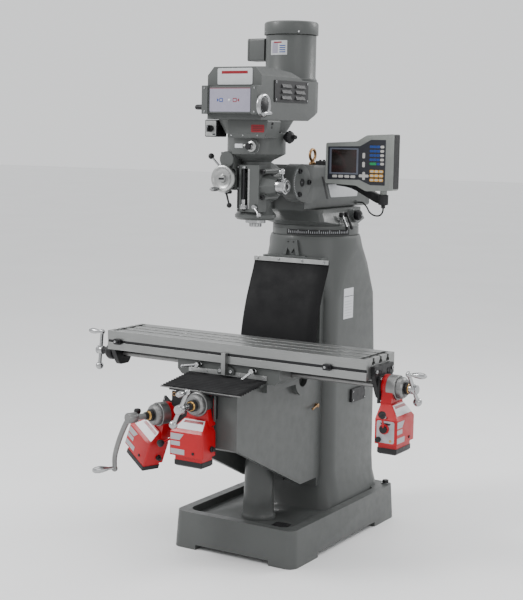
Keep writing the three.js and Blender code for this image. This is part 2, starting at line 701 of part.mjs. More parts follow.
function knee() {
  const rear = WAY.front - GAP;
  const { half, front, top, frontBottom, rearBottom } = KNEE;
  const side = [
    [front, top], [front, frontBottom], [-363, rearBottom], [rear, rearBottom], [rear, top],
  ];
  const body = extruded(side, 'x', -half, half);
  const crankBoss = rod(crankPoint(380), crankPoint(474), 56, 50, 24);
  const cavity = block([-126, -866, 100], [126, -250, 735]);
  const screwShelf = block([-127, -520, 556], [127, -412, 597]);
  const nutSlot = block([-32, -800, 700], [32, -300, top + 5]);
  const screwHole = rod([0, SCREW.y, 500], [0, SCREW.y, 650], SCREW.radius + 3);
  const crankHole = rod(crankPoint(300), crankPoint(520), 14);
  const crossHole = rod([0, -950, CROSS_SCREW_Z], [0, -800, CROSS_SCREW_Z], 15);
  const rearHole = rod([0, -300, CROSS_SCREW_Z], [0, -200, CROSS_SCREW_Z], 15);
  const shell = cut(join(body, crankBoss), cavity);
  return cut(join(shell, screwShelf), nutSlot, screwHole, crankHole, crossHole, rearHole);
}
add('knee', knee(), 'grey_paint');

function kneeLockLever() {
  const x = KNEE.half + GAP;
  const hub = rod([x, -238, 610], [x + 16, -238, 610], 9);
  return join(hub, rod([x + 10, -238, 610], [x + 14, -286, 603], 4.5, 4, 8));
}
add('knee_lock_lever', kneeLockLever(), 'bronze');

// The bevel pair's pitch cones meet at the crank's height: 50 mm and 20 mm radius.
function elevatingScrew() {
  const { y, radius, bottom } = SCREW;
  const thread = rod([0, y, bottom], [0, y, 604], radius, radius, 16);
  const gear = turned([[0, 0], [50, 0], [50, 33], [26, 42.6], [0, 42.6]],
    [0, y, 597 + GAP], [0, 0, 1], FINE);
  return join(thread, gear);
}
add('elevating_screw', elevatingScrew(), 'machined_iron');

// ---- Power feeds and their cranks ---------------------------------------------

// A power feed is drawn with its shaft along -Y through the origin, its mounting
// face at y = 0 and its gearbox hanging below, then placed by a matrix.
const FEED = { neck: 48, boxTop: -84, boxBottom: -212, baseBottom: -256, depth: 102 };

function placed(part, { position, turn = 0, roll = 0 }) {
  const matrix = new THREE.Matrix4().makeRotationZ(turn)
    .multiply(new THREE.Matrix4().makeRotationY(roll))
    .setPosition(...position);
  const { vertProperties, triVerts } = part.getMesh();
  const geometry = new THREE.BufferGeometry();
  geometry.setAttribute('position', new THREE.BufferAttribute(vertProperties, 3));
  geometry.setIndex(new THREE.BufferAttribute(triVerts, 1));
  return solid(geometry.applyMatrix4(matrix));
}

function feedUnit() {
  const { neck, boxTop, boxBottom, baseBottom, depth } = FEED;
  const drum = rod([0, 0, 0], [0, -58, 0], neck, neck, 24);
  const throat = extruded(
    [[4 - neck, -5], [-62, boxTop], [56, boxTop], [neck - 4, -5]], 'y', -54, -6,
  );
  const box = extruded(
    [[-104, -112], [-70, boxTop + 6], [46, boxTop + 6], [60, -112], [60, boxBottom],
      [-104, boxBottom]],
    'y', -depth, -6,
  );
  const base = extruded(
    [[-84, boxBottom + 1], [48, boxBottom + 1], [48, baseBottom + 8], [38, baseBottom],
      [-76, baseBottom], [-84, baseBottom + 8]],
    'y', -depth + 10, -12,
  );
  const plate = block([-60, -2, -62], [58, 8 - GAP, 46]);
  const bore = rod([0, 20, 0], [0, -120, 0], 16, 16, 20);
  return cut(join(drum, throat, box, base, plate), bore);
}

// A lever on the gearbox's left side, ending in a black knob.
function feedLever(angle) {
  const pivot = [-104 - GAP, -50, -150];
  const [forward, upward] = [-Math.sin(angle), Math.cos(angle)];
  const reach = (distance) => [
    pivot[0] - 10 - 0.45 * distance, pivot[1] + forward * distance,
    pivot[2] + upward * distance,
  ];
  const hub = rod(pivot, [pivot[0] - 16, pivot[1], pivot[2]], 15);
  const knob = turned([[0, 0], [9, 0], [15, 12], [16, 20], [8, 26], [0, 27]],
    reach(50), [-0.45, forward, upward]);
  return join(hub, rod(reach(0), reach(54), 4.5, 4.5, 8), knob);
}

// A dial, clutch ring and crank hub on one shaft; the crank itself differs.
function crankShaft(inner, outer) {
  const shaft = rod([0, inner, 0], [0, outer, 0], 12, 12, 16);
  const dial = turned([[0, 58.5], [43, 58.5], [43, 80], [36, 88], [0, 88]],
    [0, 0, 0], [0, -1, 0], 20);
  const collar = turned([[0, 87], [20, 87], [20, 118], [16, 122], [0, 122]],
    [0, 0, 0], [0, -1, 0], 16);
  return join(shaft, dial, collar);
}

// A crank arm with a ball at one end and a turning grip at the other.
function ballCrank(y, angle) {
  const [c, s] = [Math.cos(angle), Math.sin(angle)];
  const grip = [82 * c, y, 82 * s];
  const weight = [-72 * c, y, -72 * s];
  return join(
    rod([0, y + 16, 0], [0, y - 18, 0], 20, 19),
    rod([0, y, 0], grip, 9, 8, 10), rod([0, y, 0], weight, 9, 8, 10),
    ball(grip, 13), ball(weight, 18),
    turned([[0, 0], [6, 0], [6, 12], [10, 22], [13, 46], [10, 66], [0, 72]],
      [grip[0], y - 3, grip[2]], [0, -1, 0], 8),
  );
}

const crossPlace = { position: [0, KNEE.front - 8, CROSS_SCREW_Z] };
add('cross_feed_unit', placed(feedUnit(), crossPlace), 'red_paint');
add('cross_feed_lever', placed(feedLever(1.9), crossPlace), 'black_plastic');
add('cross_crank', placed(
  join(crankShaft(600, -180), ballCrank(-181, 1.13)), crossPlace,
), 'bright_steel');

const crankDistance = 482;
const kneePlace = {
  position: crankPoint(crankDistance),
  turn: -Math.atan2(-CRANK_AXIS.x, -CRANK_AXIS.y),
  roll: THREE.MathUtils.degToRad(25),
};
add('knee_feed_unit', placed(feedUnit(), kneePlace), 'red_paint');
add('knee_feed_lever', placed(feedLever(0), kneePlace), 'black_plastic');

// The long S-shaped knee crank, with a bevel pinion on the shaft's inner end.
function kneeCrank() {
  const y = -186;
  const arm = swept(
    [[0, y, 0], [-34, y, -22], [-82, y - 4, -100], [-116, y - 6, -180], [-118, y - 6, -236]],
    26, 20, 14,
  );
  const grip = turned([[0, 0], [7, 0], [7, 24], [11, 34], [15, 62], [12, 88], [0, 94]],
    [-118, y - 14, -232], [-0.1, -1, 0], 14);
  const pinion = turned([[0, 0], [10.6, 0], [19.4, 22], [19.4, 32], [0, 32]],
    [0, crankDistance - 28, 0], [0, -1, 0], 16);
  const hub = rod([0, y + 22, 0], [0, y - 22, 0], 22, 22, 20);
  return join(crankShaft(crankDistance - 40, -180), hub, arm, grip, pinion);
}
add('knee_crank', placed(kneeCrank(), { ...kneePlace, roll: 0 }), 'machined_iron');

// ---- Saddle -------------------------------------------------------------------

function saddle() {
  const { half, front, rear, wing, top } = SADDLE;
  const face = [
    [-158, KNEE.top + GAP], [158, KNEE.top + GAP], [170, wing], [half - 22, wing],
    [half, wing + 22], [half, top], [-half, top], [-half, wing + 22], [22 - half, wing],
    [-170, wing],
  ];
  const body = extruded(face, 'y', front, rear);
  const upperWay = extruded(
    [[-688, top - 5], [-572, top - 5], [-566, 875], [-694, 875]], 'x', -half, half,
  );
  const flanks = [-1, 1].map((side) => {
    const [low, high] = side < 0 ? [-176, -(KNEE.half + GAP)] : [KNEE.half + GAP, 176];
    const rail = block([low, front + 30, 742], [high, rear, wing + 5]);
    const lobe = rod([low, -402, 752], [high, -402, 752], 66, 66, 24);
    return cut(join(rail, lobe.intersect(block([low, -480, 600], [high, rear, 800]))),
      rod([low - 5, -402, 760], [high + 5, -402, 760], 38, 38, 20)
        .intersect(block([-300, -480, 600], [300, -340, 764])));
  });
  const nut = block([-27, -560, 690], [27, -504, KNEE.top + 20]);
  const crossHole = rod([0, -600, CROSS_SCREW_Z], [0, -480, CROSS_SCREW_Z], 15);
  const tableHole = rod(
    [-half - 5, TABLE_SCREW.y, TABLE_SCREW.z], [half + 5, TABLE_SCREW.y, TABLE_SCREW.z], 16,
  );
  return cut(join(body, upperWay, ...flanks, nut), crossHole, tableHole);
}
add('saddle', saddle(), 'grey_paint');

// The pleated cover slopes from the saddle's front down over the knee.
add('front_way_cover', extruded([
  [SADDLE.front - 1, COVER.rearZ], [SADDLE.front - 1, COVER.rearZ - COVER.thickness],
  [COVER.frontY, COVER.frontZ - COVER.thickness], [COVER.frontY, COVER.frontZ],
], 'x', -COVER.half, COVER.half), 'black_rubber');

const LOCK_TIPS = { left: [-62, -12, -30], right: [-30, -28, -36] };
for (const [side, [dx, dy, dz]] of Object.entries(LOCK_TIPS)) {
  const x = side === 'left' ? -135 : 135;
  const y = SADDLE.front - GAP;
  add(`table_lock_lever_${side}`, join(
    rod([x, y, 836], [x, y - 36, 836], 11),
    rod([x, y - 28, 836], [x + dx, y - 28 + dy, 836 + dz], 6, 6, 10),
  ), 'bright_steel');
}

// ---- Table --------------------------------------------------------------------

function table() {
  const { left, right, front, rear, bottom, top } = TABLE;
  const middle = (front + rear) / 2;
  const slab = block([left, front, bottom], [right, rear, top]);
  const tools = [-1, 0, 1].flatMap((row) => {
    const y = middle + row * SLOT.pitch;
    const throat = top - SLOT.throatDepth;
    return [
      block([left - 5, y - SLOT.throat / 2, throat - 1],
        [right + 5, y + SLOT.throat / 2, top + 5]),
      block([left - 5, y - SLOT.head / 2, throat - SLOT.headDepth],
        [right + 5, y + SLOT.head / 2, throat]),
    ];
  });
  const drains = [left + 30, right - 30].map((x) => (
    block([x - 11, front + 12, top - 14], [x + 11, rear - 12, top + 5])));
  const stopGroove = block([left - 5, front - 5, 886], [right + 5, front + 9, 898]);
  const underWay = extruded(
    [[-690, bottom - 5], [-570, bottom - 5], [-562, 877], [-698, 877]], 'x', left - 5, right + 5,
  );
  return cut(slab, ...tools, ...drains, stopGroove, underWay);
}
add('table', table(), 'machined_iron');

add('table_leadscrew', rod(
  [-672, TABLE_SCREW.y, TABLE_SCREW.z], [669, TABLE_SCREW.y, TABLE_SCREW.z],
  TABLE_SCREW.radius, TABLE_SCREW.radius, 20,
), 'machined_iron');

// A bracket outline across the table's end, with a tongue round the screw.
function endBracket(low, high) {
  const outline = rounded([
    [-716, 906], [-716, 872], [-674, 790], [-660, 772], [-598, 772], [-584, 790],
    [-542, 872], [-542, 906],
  ], 8);
  const bore = rod([low - 9, TABLE_SCREW.y, TABLE_SCREW.z],
    [high + 9, TABLE_SCREW.y, TABLE_SCREW.z], TABLE_SCREW.radius + 3);
  return cut(extruded(outline, 'x', low, high), bore);
}
add('left_bracket', endBracket(TABLE.left - 22, TABLE.left - GAP), 'black_oxide');
add('right_bracket', endBracket(TABLE.right + GAP, TABLE.right + 18), 'black_oxide');

const tablePlace = {
  position: [TABLE.right + 26, TABLE_SCREW.y, TABLE_SCREW.z], turn: Math.PI / 2,
};
add('table_feed_unit', placed(feedUnit(), tablePlace), 'red_paint');
add('table_feed_lever', placed(feedLever(0.1), tablePlace), 'black_plastic');
add('table_crank_right', placed(
  join(crankShaft(6, -112), ballCrank(-121, 2.2)), tablePlace,
), 'bright_steel');

const leftPlace = {
  position: [-673, TABLE_SCREW.y, TABLE_SCREW.z], turn: -Math.PI / 2,
};
const leftDial = turned([[0, GAP], [34, GAP], [36, 6], [36, 26], [30, 34], [20, 36], [16, 66],
  [0, 66]], [0, 0, 0], [0, -1, 0], 20);
add('table_crank_left', placed(join(leftDial, ballCrank(-81, 1.69)), leftPlace), 'bright_steel');

export default machine;
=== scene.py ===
import json
import math

import bmesh
import bpy
from mathutils import Matrix, Vector


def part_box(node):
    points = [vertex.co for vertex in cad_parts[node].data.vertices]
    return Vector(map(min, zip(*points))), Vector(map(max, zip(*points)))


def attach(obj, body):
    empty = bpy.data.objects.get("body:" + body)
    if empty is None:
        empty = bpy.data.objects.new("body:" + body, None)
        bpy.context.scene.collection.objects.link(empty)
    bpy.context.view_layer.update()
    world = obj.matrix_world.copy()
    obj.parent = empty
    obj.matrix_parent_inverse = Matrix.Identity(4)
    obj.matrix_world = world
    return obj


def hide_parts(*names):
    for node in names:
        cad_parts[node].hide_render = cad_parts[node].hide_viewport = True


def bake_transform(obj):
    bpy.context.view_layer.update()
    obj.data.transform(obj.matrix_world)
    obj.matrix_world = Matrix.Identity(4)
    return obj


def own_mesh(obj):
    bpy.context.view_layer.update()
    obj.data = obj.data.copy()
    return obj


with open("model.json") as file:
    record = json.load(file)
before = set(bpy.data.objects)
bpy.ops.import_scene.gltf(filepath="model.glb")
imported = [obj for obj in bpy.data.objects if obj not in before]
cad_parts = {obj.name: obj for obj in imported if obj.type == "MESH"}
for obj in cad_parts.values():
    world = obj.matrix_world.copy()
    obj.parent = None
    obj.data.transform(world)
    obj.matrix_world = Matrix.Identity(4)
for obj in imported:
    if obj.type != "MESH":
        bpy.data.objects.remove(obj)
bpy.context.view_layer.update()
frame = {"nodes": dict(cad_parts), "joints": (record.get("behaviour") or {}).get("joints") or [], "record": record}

# ---- Places: machine millimetres, from the floor below the turret's axis ----

JOINTS = {joint["name"]: joint for joint in frame["joints"]}
TURRET_AXIS = JOINTS["turret_swivel"]["pos_m"]
MM = 0.001
UP, RIGHT, LEFT = (0, 0, 1), (1, 0, 0), (-1, 0, 0)
FRONT, BACK = (0, -1, 0), (0, 1, 0)


def place(point):
    """A point in machine millimetres as a point in the row frame, in metres."""
    x, y, z = point
    return Vector((TURRET_AXIS[0] + x * MM, TURRET_AXIS[1] + y * MM, z * MM))


def corners(node):
    """A node's lowest and highest corners in machine millimetres."""
    low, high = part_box(node)
    shift = Vector((TURRET_AXIS[0], TURRET_AXIS[1], 0))
    return (low - shift) / MM, (high - shift) / MM


def turns(count, start=0.0):
    """Angles once round a circle, in equal steps."""
    return [start + 2 * math.pi * i / count for i in range(count)]


def around(centre, radius, angle, axis="z"):
    """The point at an angle on a circle round an axis through a centre."""
    x, y, z = centre
    a, b = radius * math.cos(angle), radius * math.sin(angle)
    return Vector({"x": (x, y + a, z + b), "y": (x + a, y, z + b), "z": (x + a, y + b, z)}[axis])


def linked(name, data):
    """A new object in the scene."""
    obj = bpy.data.objects.new(name, data)
    bpy.context.scene.collection.objects.link(obj)
    return obj


# ---- Camera ----

YAW, PITCH, ROLL = (math.radians(angle) for angle in (32.3, 7.1, 0.9))
CAMERA_POINT = (2.9031, -4.9471, 1.8166)
SENSOR_WIDTH, LENS = 36, 79.6
SHIFT_X, SHIFT_Y = 0.054, -0.0058
FAR_CLIP = 140


def make_camera():
    """The camera of the reference view."""
    right = Vector((math.cos(YAW), math.sin(YAW), 0))
    forward = Vector((-math.sin(YAW) * math.cos(PITCH), math.cos(YAW) * math.cos(PITCH),
                      -math.sin(PITCH)))
    up = right.cross(forward)
    rolled_right = right * math.cos(ROLL) + up * math.sin(ROLL)
    rolled_up = up * math.cos(ROLL) - right * math.sin(ROLL)
    data = bpy.data.cameras.new("camera")
    data.sensor_width = SENSOR_WIDTH
    data.lens = LENS
    data.shift_x = SHIFT_X
    data.shift_y = SHIFT_Y
    data.clip_end = FAR_CLIP
    camera = linked("camera", data)
    turn = Matrix((rolled_right, rolled_up, -forward)).transposed()
    camera.matrix_world = Matrix.Translation(CAMERA_POINT) @ turn.to_4x4()
    bpy.context.scene.camera = camera


make_camera()

# ---- Materials ----


class Shader:
    """A principled material that is put together from noise and ramps."""

    def __init__(self, name, metallic=0.0, coat=0.0, specular=0.5):
        self.material = bpy.data.materials.new(name)
        self.material.use_nodes = True
        self.tree = self.material.node_tree
        self.bsdf = self.tree.nodes["Principled BSDF"]
        self.bsdf.inputs["Metallic"].default_value = metallic
        self.bsdf.inputs["Coat Weight"].default_value = coat
        self.bsdf.inputs["Coat Roughness"].default_value = 0.15
        self.bsdf.inputs["Specular IOR Level"].default_value = specular
        self.coords = self.node("TexCoord").outputs["Object"]

    def link(self, source, target):
        self.tree.links.new(source, target)

    def node(self, kind, **inputs):
        """A new node with some of its inputs set."""
        node = self.tree.nodes.new(f"ShaderNode{kind}")
        for name, value in inputs.items():
            node.inputs[name.replace("_", " ")].default_value = value
        return node

    def noise(self, scale, detail=4.0, stretch=(1, 1, 1), rough=0.55):
        mapping = self.node("Mapping", Scale=stretch)
        self.link(self.coords, mapping.inputs["Vector"])
        texture = self.node("TexNoise", Scale=scale, Detail=detail, Roughness=rough)
        self.link(mapping.outputs["Vector"], texture.inputs["Vector"])
        return texture.outputs["Fac"]

    def cells(self, scale):
        texture = self.node("TexVoronoi", Scale=scale)
        self.link(self.coords, texture.inputs["Vector"])
        return texture.outputs["Distance"]

    def ramp(self, source, stops):
        """Colours along a value; stops are (value, colour)."""
        node = self.node("ValToRGB")
        band = node.color_ramp
        while len(band.elements) < len(stops):
            band.elements.new(0.5)
        for element, (position, colour) in zip(band.elements, stops):
            element.position = position
            element.color = (*colour, 1)
        self.link(source, node.inputs["Fac"])
        return node.outputs["Color"]

    def scaled(self, source, low, high):
        """A noise, most of which lies between 0.3 and 0.7, spread from low to high."""
        node = self.node("MapRange", From_Min=0.3, From_Max=0.7, To_Min=low, To_Max=high)
        self.link(source, node.inputs["Value"])
        return node.outputs["Result"]

    def mixed(self, factor, a, b):
        """A mix of two colours, of which each is a socket or a plain colour."""
        node = self.node("Mix")
        node.data_type = "RGBA"
        self.link(factor, node.inputs["Factor"])
        for socket, value in (("A", a), ("B", b)):
            target = [s for s in node.inputs if s.name == socket and s.type == "RGBA"][0]
            if isinstance(value, tuple):
                target.default_value = (*value, 1)
            else:
                self.link(value, target)
        return [s for s in node.outputs if s.type == "RGBA"][0]

    def edges(self, radius, low, high):
        """A mask that is 1 along sharp edges, from the bevelled and the true normal."""
        bevel = self.node("Bevel", Radius=radius)
        bevel.samples = 4
        geometry = self.node("NewGeometry")
        dot = self.node("VectorMath")
        dot.operation = "DOT_PRODUCT"
        self.link(bevel.outputs["Normal"], dot.inputs[0])
        self.link(geometry.outputs["Normal"], dot.inputs[1])
        node = self.node("MapRange", From_Min=high, From_Max=low)
        self.link(dot.outputs["Value"], node.inputs["Value"])
        return node.outputs["Result"]

    def bump(self, sources, distance):
        """Adds bumps one on another; sources are (height, strength)."""
        previous = None
        for height, strength in sources:
            node = self.node("Bump", Strength=strength, Distance=distance)
            self.link(height, node.inputs["Height"])
            if previous:
                self.link(previous, node.inputs["Normal"])
            previous = node.outputs["Normal"]
        self.link(previous, self.bsdf.inputs["Normal"])

    def finish(self, colour, roughness):
        self.link(colour, self.bsdf.inputs["Base Color"])
        self.link(roughness, self.bsdf.inputs["Roughness"])
        return self.material


def shade(colour, factor):
    """A colour, made darker or lighter."""
    return tuple(channel * factor for channel in colour)


def painted(name, colour, roughness=(0.34, 0.5), wear=1.25, dimple=0.10):
    """Semi-gloss enamel over a casting: soft dimples, faint clouding and lighter edges."""
    look = Shader(name, coat=0.08, specular=0.3)
    clouds = look.noise(3.2, 5)
    fine = look.noise(420, 2)
    base = look.ramp(clouds, [(0.3, shade(colour, 0.9)), (0.7, shade(colour, 1.08))])
    flecked = look.mixed(look.scaled(fine, 0.0, 0.35), base, shade(colour, 0.82))
    rub = look.edges(0.0018, 0.9, 0.998)
    worn = look.mixed(rub, flecked, shade(colour, wear))
    look.bump([(look.noise(150, 3), dimple), (fine, dimple * 0.5)], 0.0006)
    return look.finish(worn, look.scaled(look.noise(24, 4), *roughness))


def brushed(name, colour):
    """Ground metal with fine parallel lines and faint stains."""
    look = Shader(name, metallic=0.9)
    along = (1, 60, 60)
    lines = look.noise(30, 6, along)
    base = look.ramp(lines, [(0.3, shade(colour, 0.82)), (0.7, shade(colour, 1.05))])
    stained = look.mixed(look.scaled(look.noise(7, 6), 0.0, 0.28), base, shade(colour, 0.6))
    bright = look.mixed(look.edges(0.0012, 0.9, 0.998), stained, shade(colour, 1.15))
    look.bump([(lines, 0.06)], 0.0003)
    return look.finish(bright, look.scaled(look.noise(18, 5, along), 0.28, 0.46))


def polished(name, colour, roughness=(0.10, 0.24), metallic=1.0):
    """Turned and polished metal with hairlines and a little tarnish."""
    look = Shader(name, metallic=metallic)
    tarnish = look.noise(34, 6)
    base = look.ramp(tarnish, [(0.35, shade(colour, 0.86)), (0.65, colour)])
    look.bump([(look.noise(700, 2), 0.03)], 0.0002)
    return look.finish(base, look.scaled(look.noise(60, 5), *roughness))


def moulded(name, colour, roughness=(0.4, 0.58), grain=900, bump=0.12):
    """Plastic with a fine moulded grain and paler edges."""
    look = Shader(name, specular=0.3)
    base = look.ramp(look.noise(12, 4), [(0.3, shade(colour, 0.88)), (0.7, shade(colour, 1.12))])
    edged = look.mixed(look.edges(0.001, 0.88, 0.998), base, tuple(c * 1.5 + 0.004 for c in colour))
    look.bump([(look.cells(grain), bump)], 0.0003)
    return look.finish(edged, look.scaled(look.noise(45, 4), *roughness))


def rubbery(name, colour):
    """Reinforced rubber sheet: a fine woven print, dust and scuffs."""
    look = Shader(name, specular=0.22)
    dust = look.noise(9, 7, rough=0.7)
    base = look.ramp(dust, [(0.35, colour), (0.62, shade(colour, 1.5)), (0.8, shade(colour, 2.2))])
    scuffs = look.noise(60, 3, (1, 1, 14))
    marked = look.mixed(look.scaled(scuffs, -0.25, 0.25), base, shade(colour, 2.6))
    look.bump([(look.cells(520), 0.18), (look.noise(14, 4), 0.25)], 0.0006)
    return look.finish(marked, look.scaled(dust, 0.55, 0.8))


def printed(name, colour, roughness=(0.28, 0.4), metallic=0.0):
    """A printed or anodised plate, very slightly uneven."""
    look = Shader(name, metallic=metallic, coat=0.15, specular=0.35)
    base = look.ramp(look.noise(50, 4), [(0.3, shade(colour, 0.93)), (0.7, colour)])
    look.bump([(look.noise(600, 2), 0.04)], 0.0002)
    return look.finish(base, look.scaled(look.noise(80, 3), *roughness))


def screen_glass():
    """A dark display with a reddish tint and a faint diagonal sheen."""
    look = Shader("screen_glass", coat=0.4, specular=0.3)
    sheen = look.noise(5, 1, (2.0, 1, 3.0))
    colour = look.ramp(sheen, [(0.40, (0.008, 0.005, 0.004)), (0.5, (0.022, 0.008, 0.008)),
                               (0.6, (0.012, 0.007, 0.006))])
    return look.finish(colour, look.scaled(look.noise(90, 3), 0.12, 0.2))


GREY = painted("grey_paint", (0.070, 0.074, 0.072))
RED = painted("red_paint", (0.36, 0.0006, 0.0055), (0.3, 0.42), 1.05, 0.05)
IRON = brushed("machined_iron", (0.30, 0.305, 0.30))
TURNED_IRON = polished("turned_iron", (0.21, 0.21, 0.208), (0.3, 0.46), 0.9)
STEEL = polished("bright_steel", (0.40, 0.405, 0.41), (0.16, 0.3))
ALUMINIUM = polished("satin_aluminium", (0.40, 0.405, 0.40), (0.3, 0.45))
BLACKED = moulded("black_oxide", (0.009, 0.009, 0.010), (0.35, 0.5), 700, 0.05)
PLASTIC = moulded("black_plastic", (0.006, 0.006, 0.007))
RUBBER = rubbery("black_rubber", (0.0035, 0.0035, 0.004))
BRONZE = polished("bronze", (0.30, 0.18, 0.09), (0.25, 0.45), 0.95)
BRASS = polished("brass", (0.45, 0.27, 0.09), (0.18, 0.32))
READOUT = moulded("readout_grey", (0.20, 0.21, 0.20), (0.42, 0.6), 1400, 0.08)
WHITE = printed("plate_white", (0.52, 0.53, 0.55))
BADGE = printed("badge_silver", (0.46, 0.47, 0.48), (0.3, 0.45), 0.35)
LILAC = printed("label_lilac", (0.26, 0.25, 0.31))
PALE_GREY = printed("label_grey", (0.30, 0.31, 0.33))
SLATE = printed("screen_bezel", (0.10, 0.11, 0.14))
PLATE_RED = printed("plate_red", (0.20, 0.001, 0.007))
PANEL = printed("panel_slate", (0.014, 0.015, 0.021))
KEY_BLUE = printed("key_blue", (0.008, 0.045, 0.22))
KEY_GREEN = printed("key_green", (0.004, 0.24, 0.08))
KEY_YELLOW = printed("key_yellow", (0.60, 0.30, 0.015))
KEY_WHITE = printed("key_white", (0.44, 0.43, 0.41))
SCREEN = screen_glass()

FINISHES = {"grey_paint": GREY, "machined_iron": IRON, "bright_steel": STEEL,
            "satin_aluminium": ALUMINIUM, "black_oxide": BLACKED, "black_plastic": PLASTIC,
            "black_rubber": RUBBER, "red_paint": RED, "bronze": BRONZE, "readout_grey": READOUT}

# ---- CAD nodes: welded, softly bevelled and finished ----

SMOOTH_ANGLE = math.radians(32)
BEVEL_ANGLE = math.radians(38)
EDGE_WIDTH = 0.0008
WIDE_EDGES = {"column_base": 0.006, "turret": 0.004, "gear_housing": 0.004, "belt_housing": 0.004,
              "knee": 0.003, "ram": 0.003, "motor_junction_box": 0.003, "saddle": 0.002,
              "head_casting": 0.002}


def soft_shading_group():
    """Merges split corners and shades smoothly across shallow edges."""
    tree = bpy.data.node_groups.new("soft_shading", "GeometryNodeTree")
    tree.interface.new_socket("Geometry", in_out="INPUT", socket_type="NodeSocketGeometry")
    tree.interface.new_socket("Geometry", in_out="OUTPUT", socket_type="NodeSocketGeometry")
    new, link = tree.nodes.new, tree.links.new
    start, end = new("NodeGroupInput"), new("NodeGroupOutput")
    bare = new("GeometryNodeRemoveAttribute")
    bare.inputs["Name"].default_value = "custom_normal"
    weld = new("GeometryNodeMergeByDistance")
    weld.inputs["Distance"].default_value = 1e-5
    smooth = new("GeometryNodeSetShadeSmooth")
    angle = new("GeometryNodeInputMeshEdgeAngle")
    sharp = new("ShaderNodeMath")
    sharp.operation = "GREATER_THAN"
    sharp.inputs[1].default_value = SMOOTH_ANGLE
    crease = new("GeometryNodeSetShadeSmooth")
    crease.domain = "EDGE"
    crease.inputs["Shade Smooth"].default_value = False
    link(start.outputs[0], bare.inputs["Geometry"])
    link(bare.outputs["Geometry"], weld.inputs["Geometry"])
    link(weld.outputs["Geometry"], smooth.inputs["Geometry"])
    link(smooth.outputs["Geometry"], crease.inputs["Geometry"])
    link(angle.outputs["Unsigned Angle"], sharp.inputs[0])
    link(sharp.outputs["Value"], crease.inputs["Selection"])
    link(crease.outputs["Geometry"], end.inputs[0])
    return tree


def bevelled(obj, width):
    """Rounds the sharp edges by a width in metres."""
    bevel = obj.modifiers.new("edge_radius", "BEVEL")
    bevel.width = width
    bevel.segments = 2
    bevel.limit_method = "ANGLE"
    bevel.angle_limit = BEVEL_ANGLE
    bevel.harden_normals = True


def finish_nodes():
    """Gives each CAD node its material and soft edges."""
    group = soft_shading_group()
    slots = {part["node"]: part["material_slot"] for part in frame["record"]["subparts"]}
    for name, node in frame["nodes"].items():
        node.data.materials.clear()
        node.data.materials.append(FINISHES[slots[name]])
        node.modifiers.new("soft_shading", "NODES").node_group = group
        bevelled(node, WIDE_EDGES.get(name, EDGE_WIDTH))


finish_nodes()

# ---- Pieces drawn from simple shapes ----


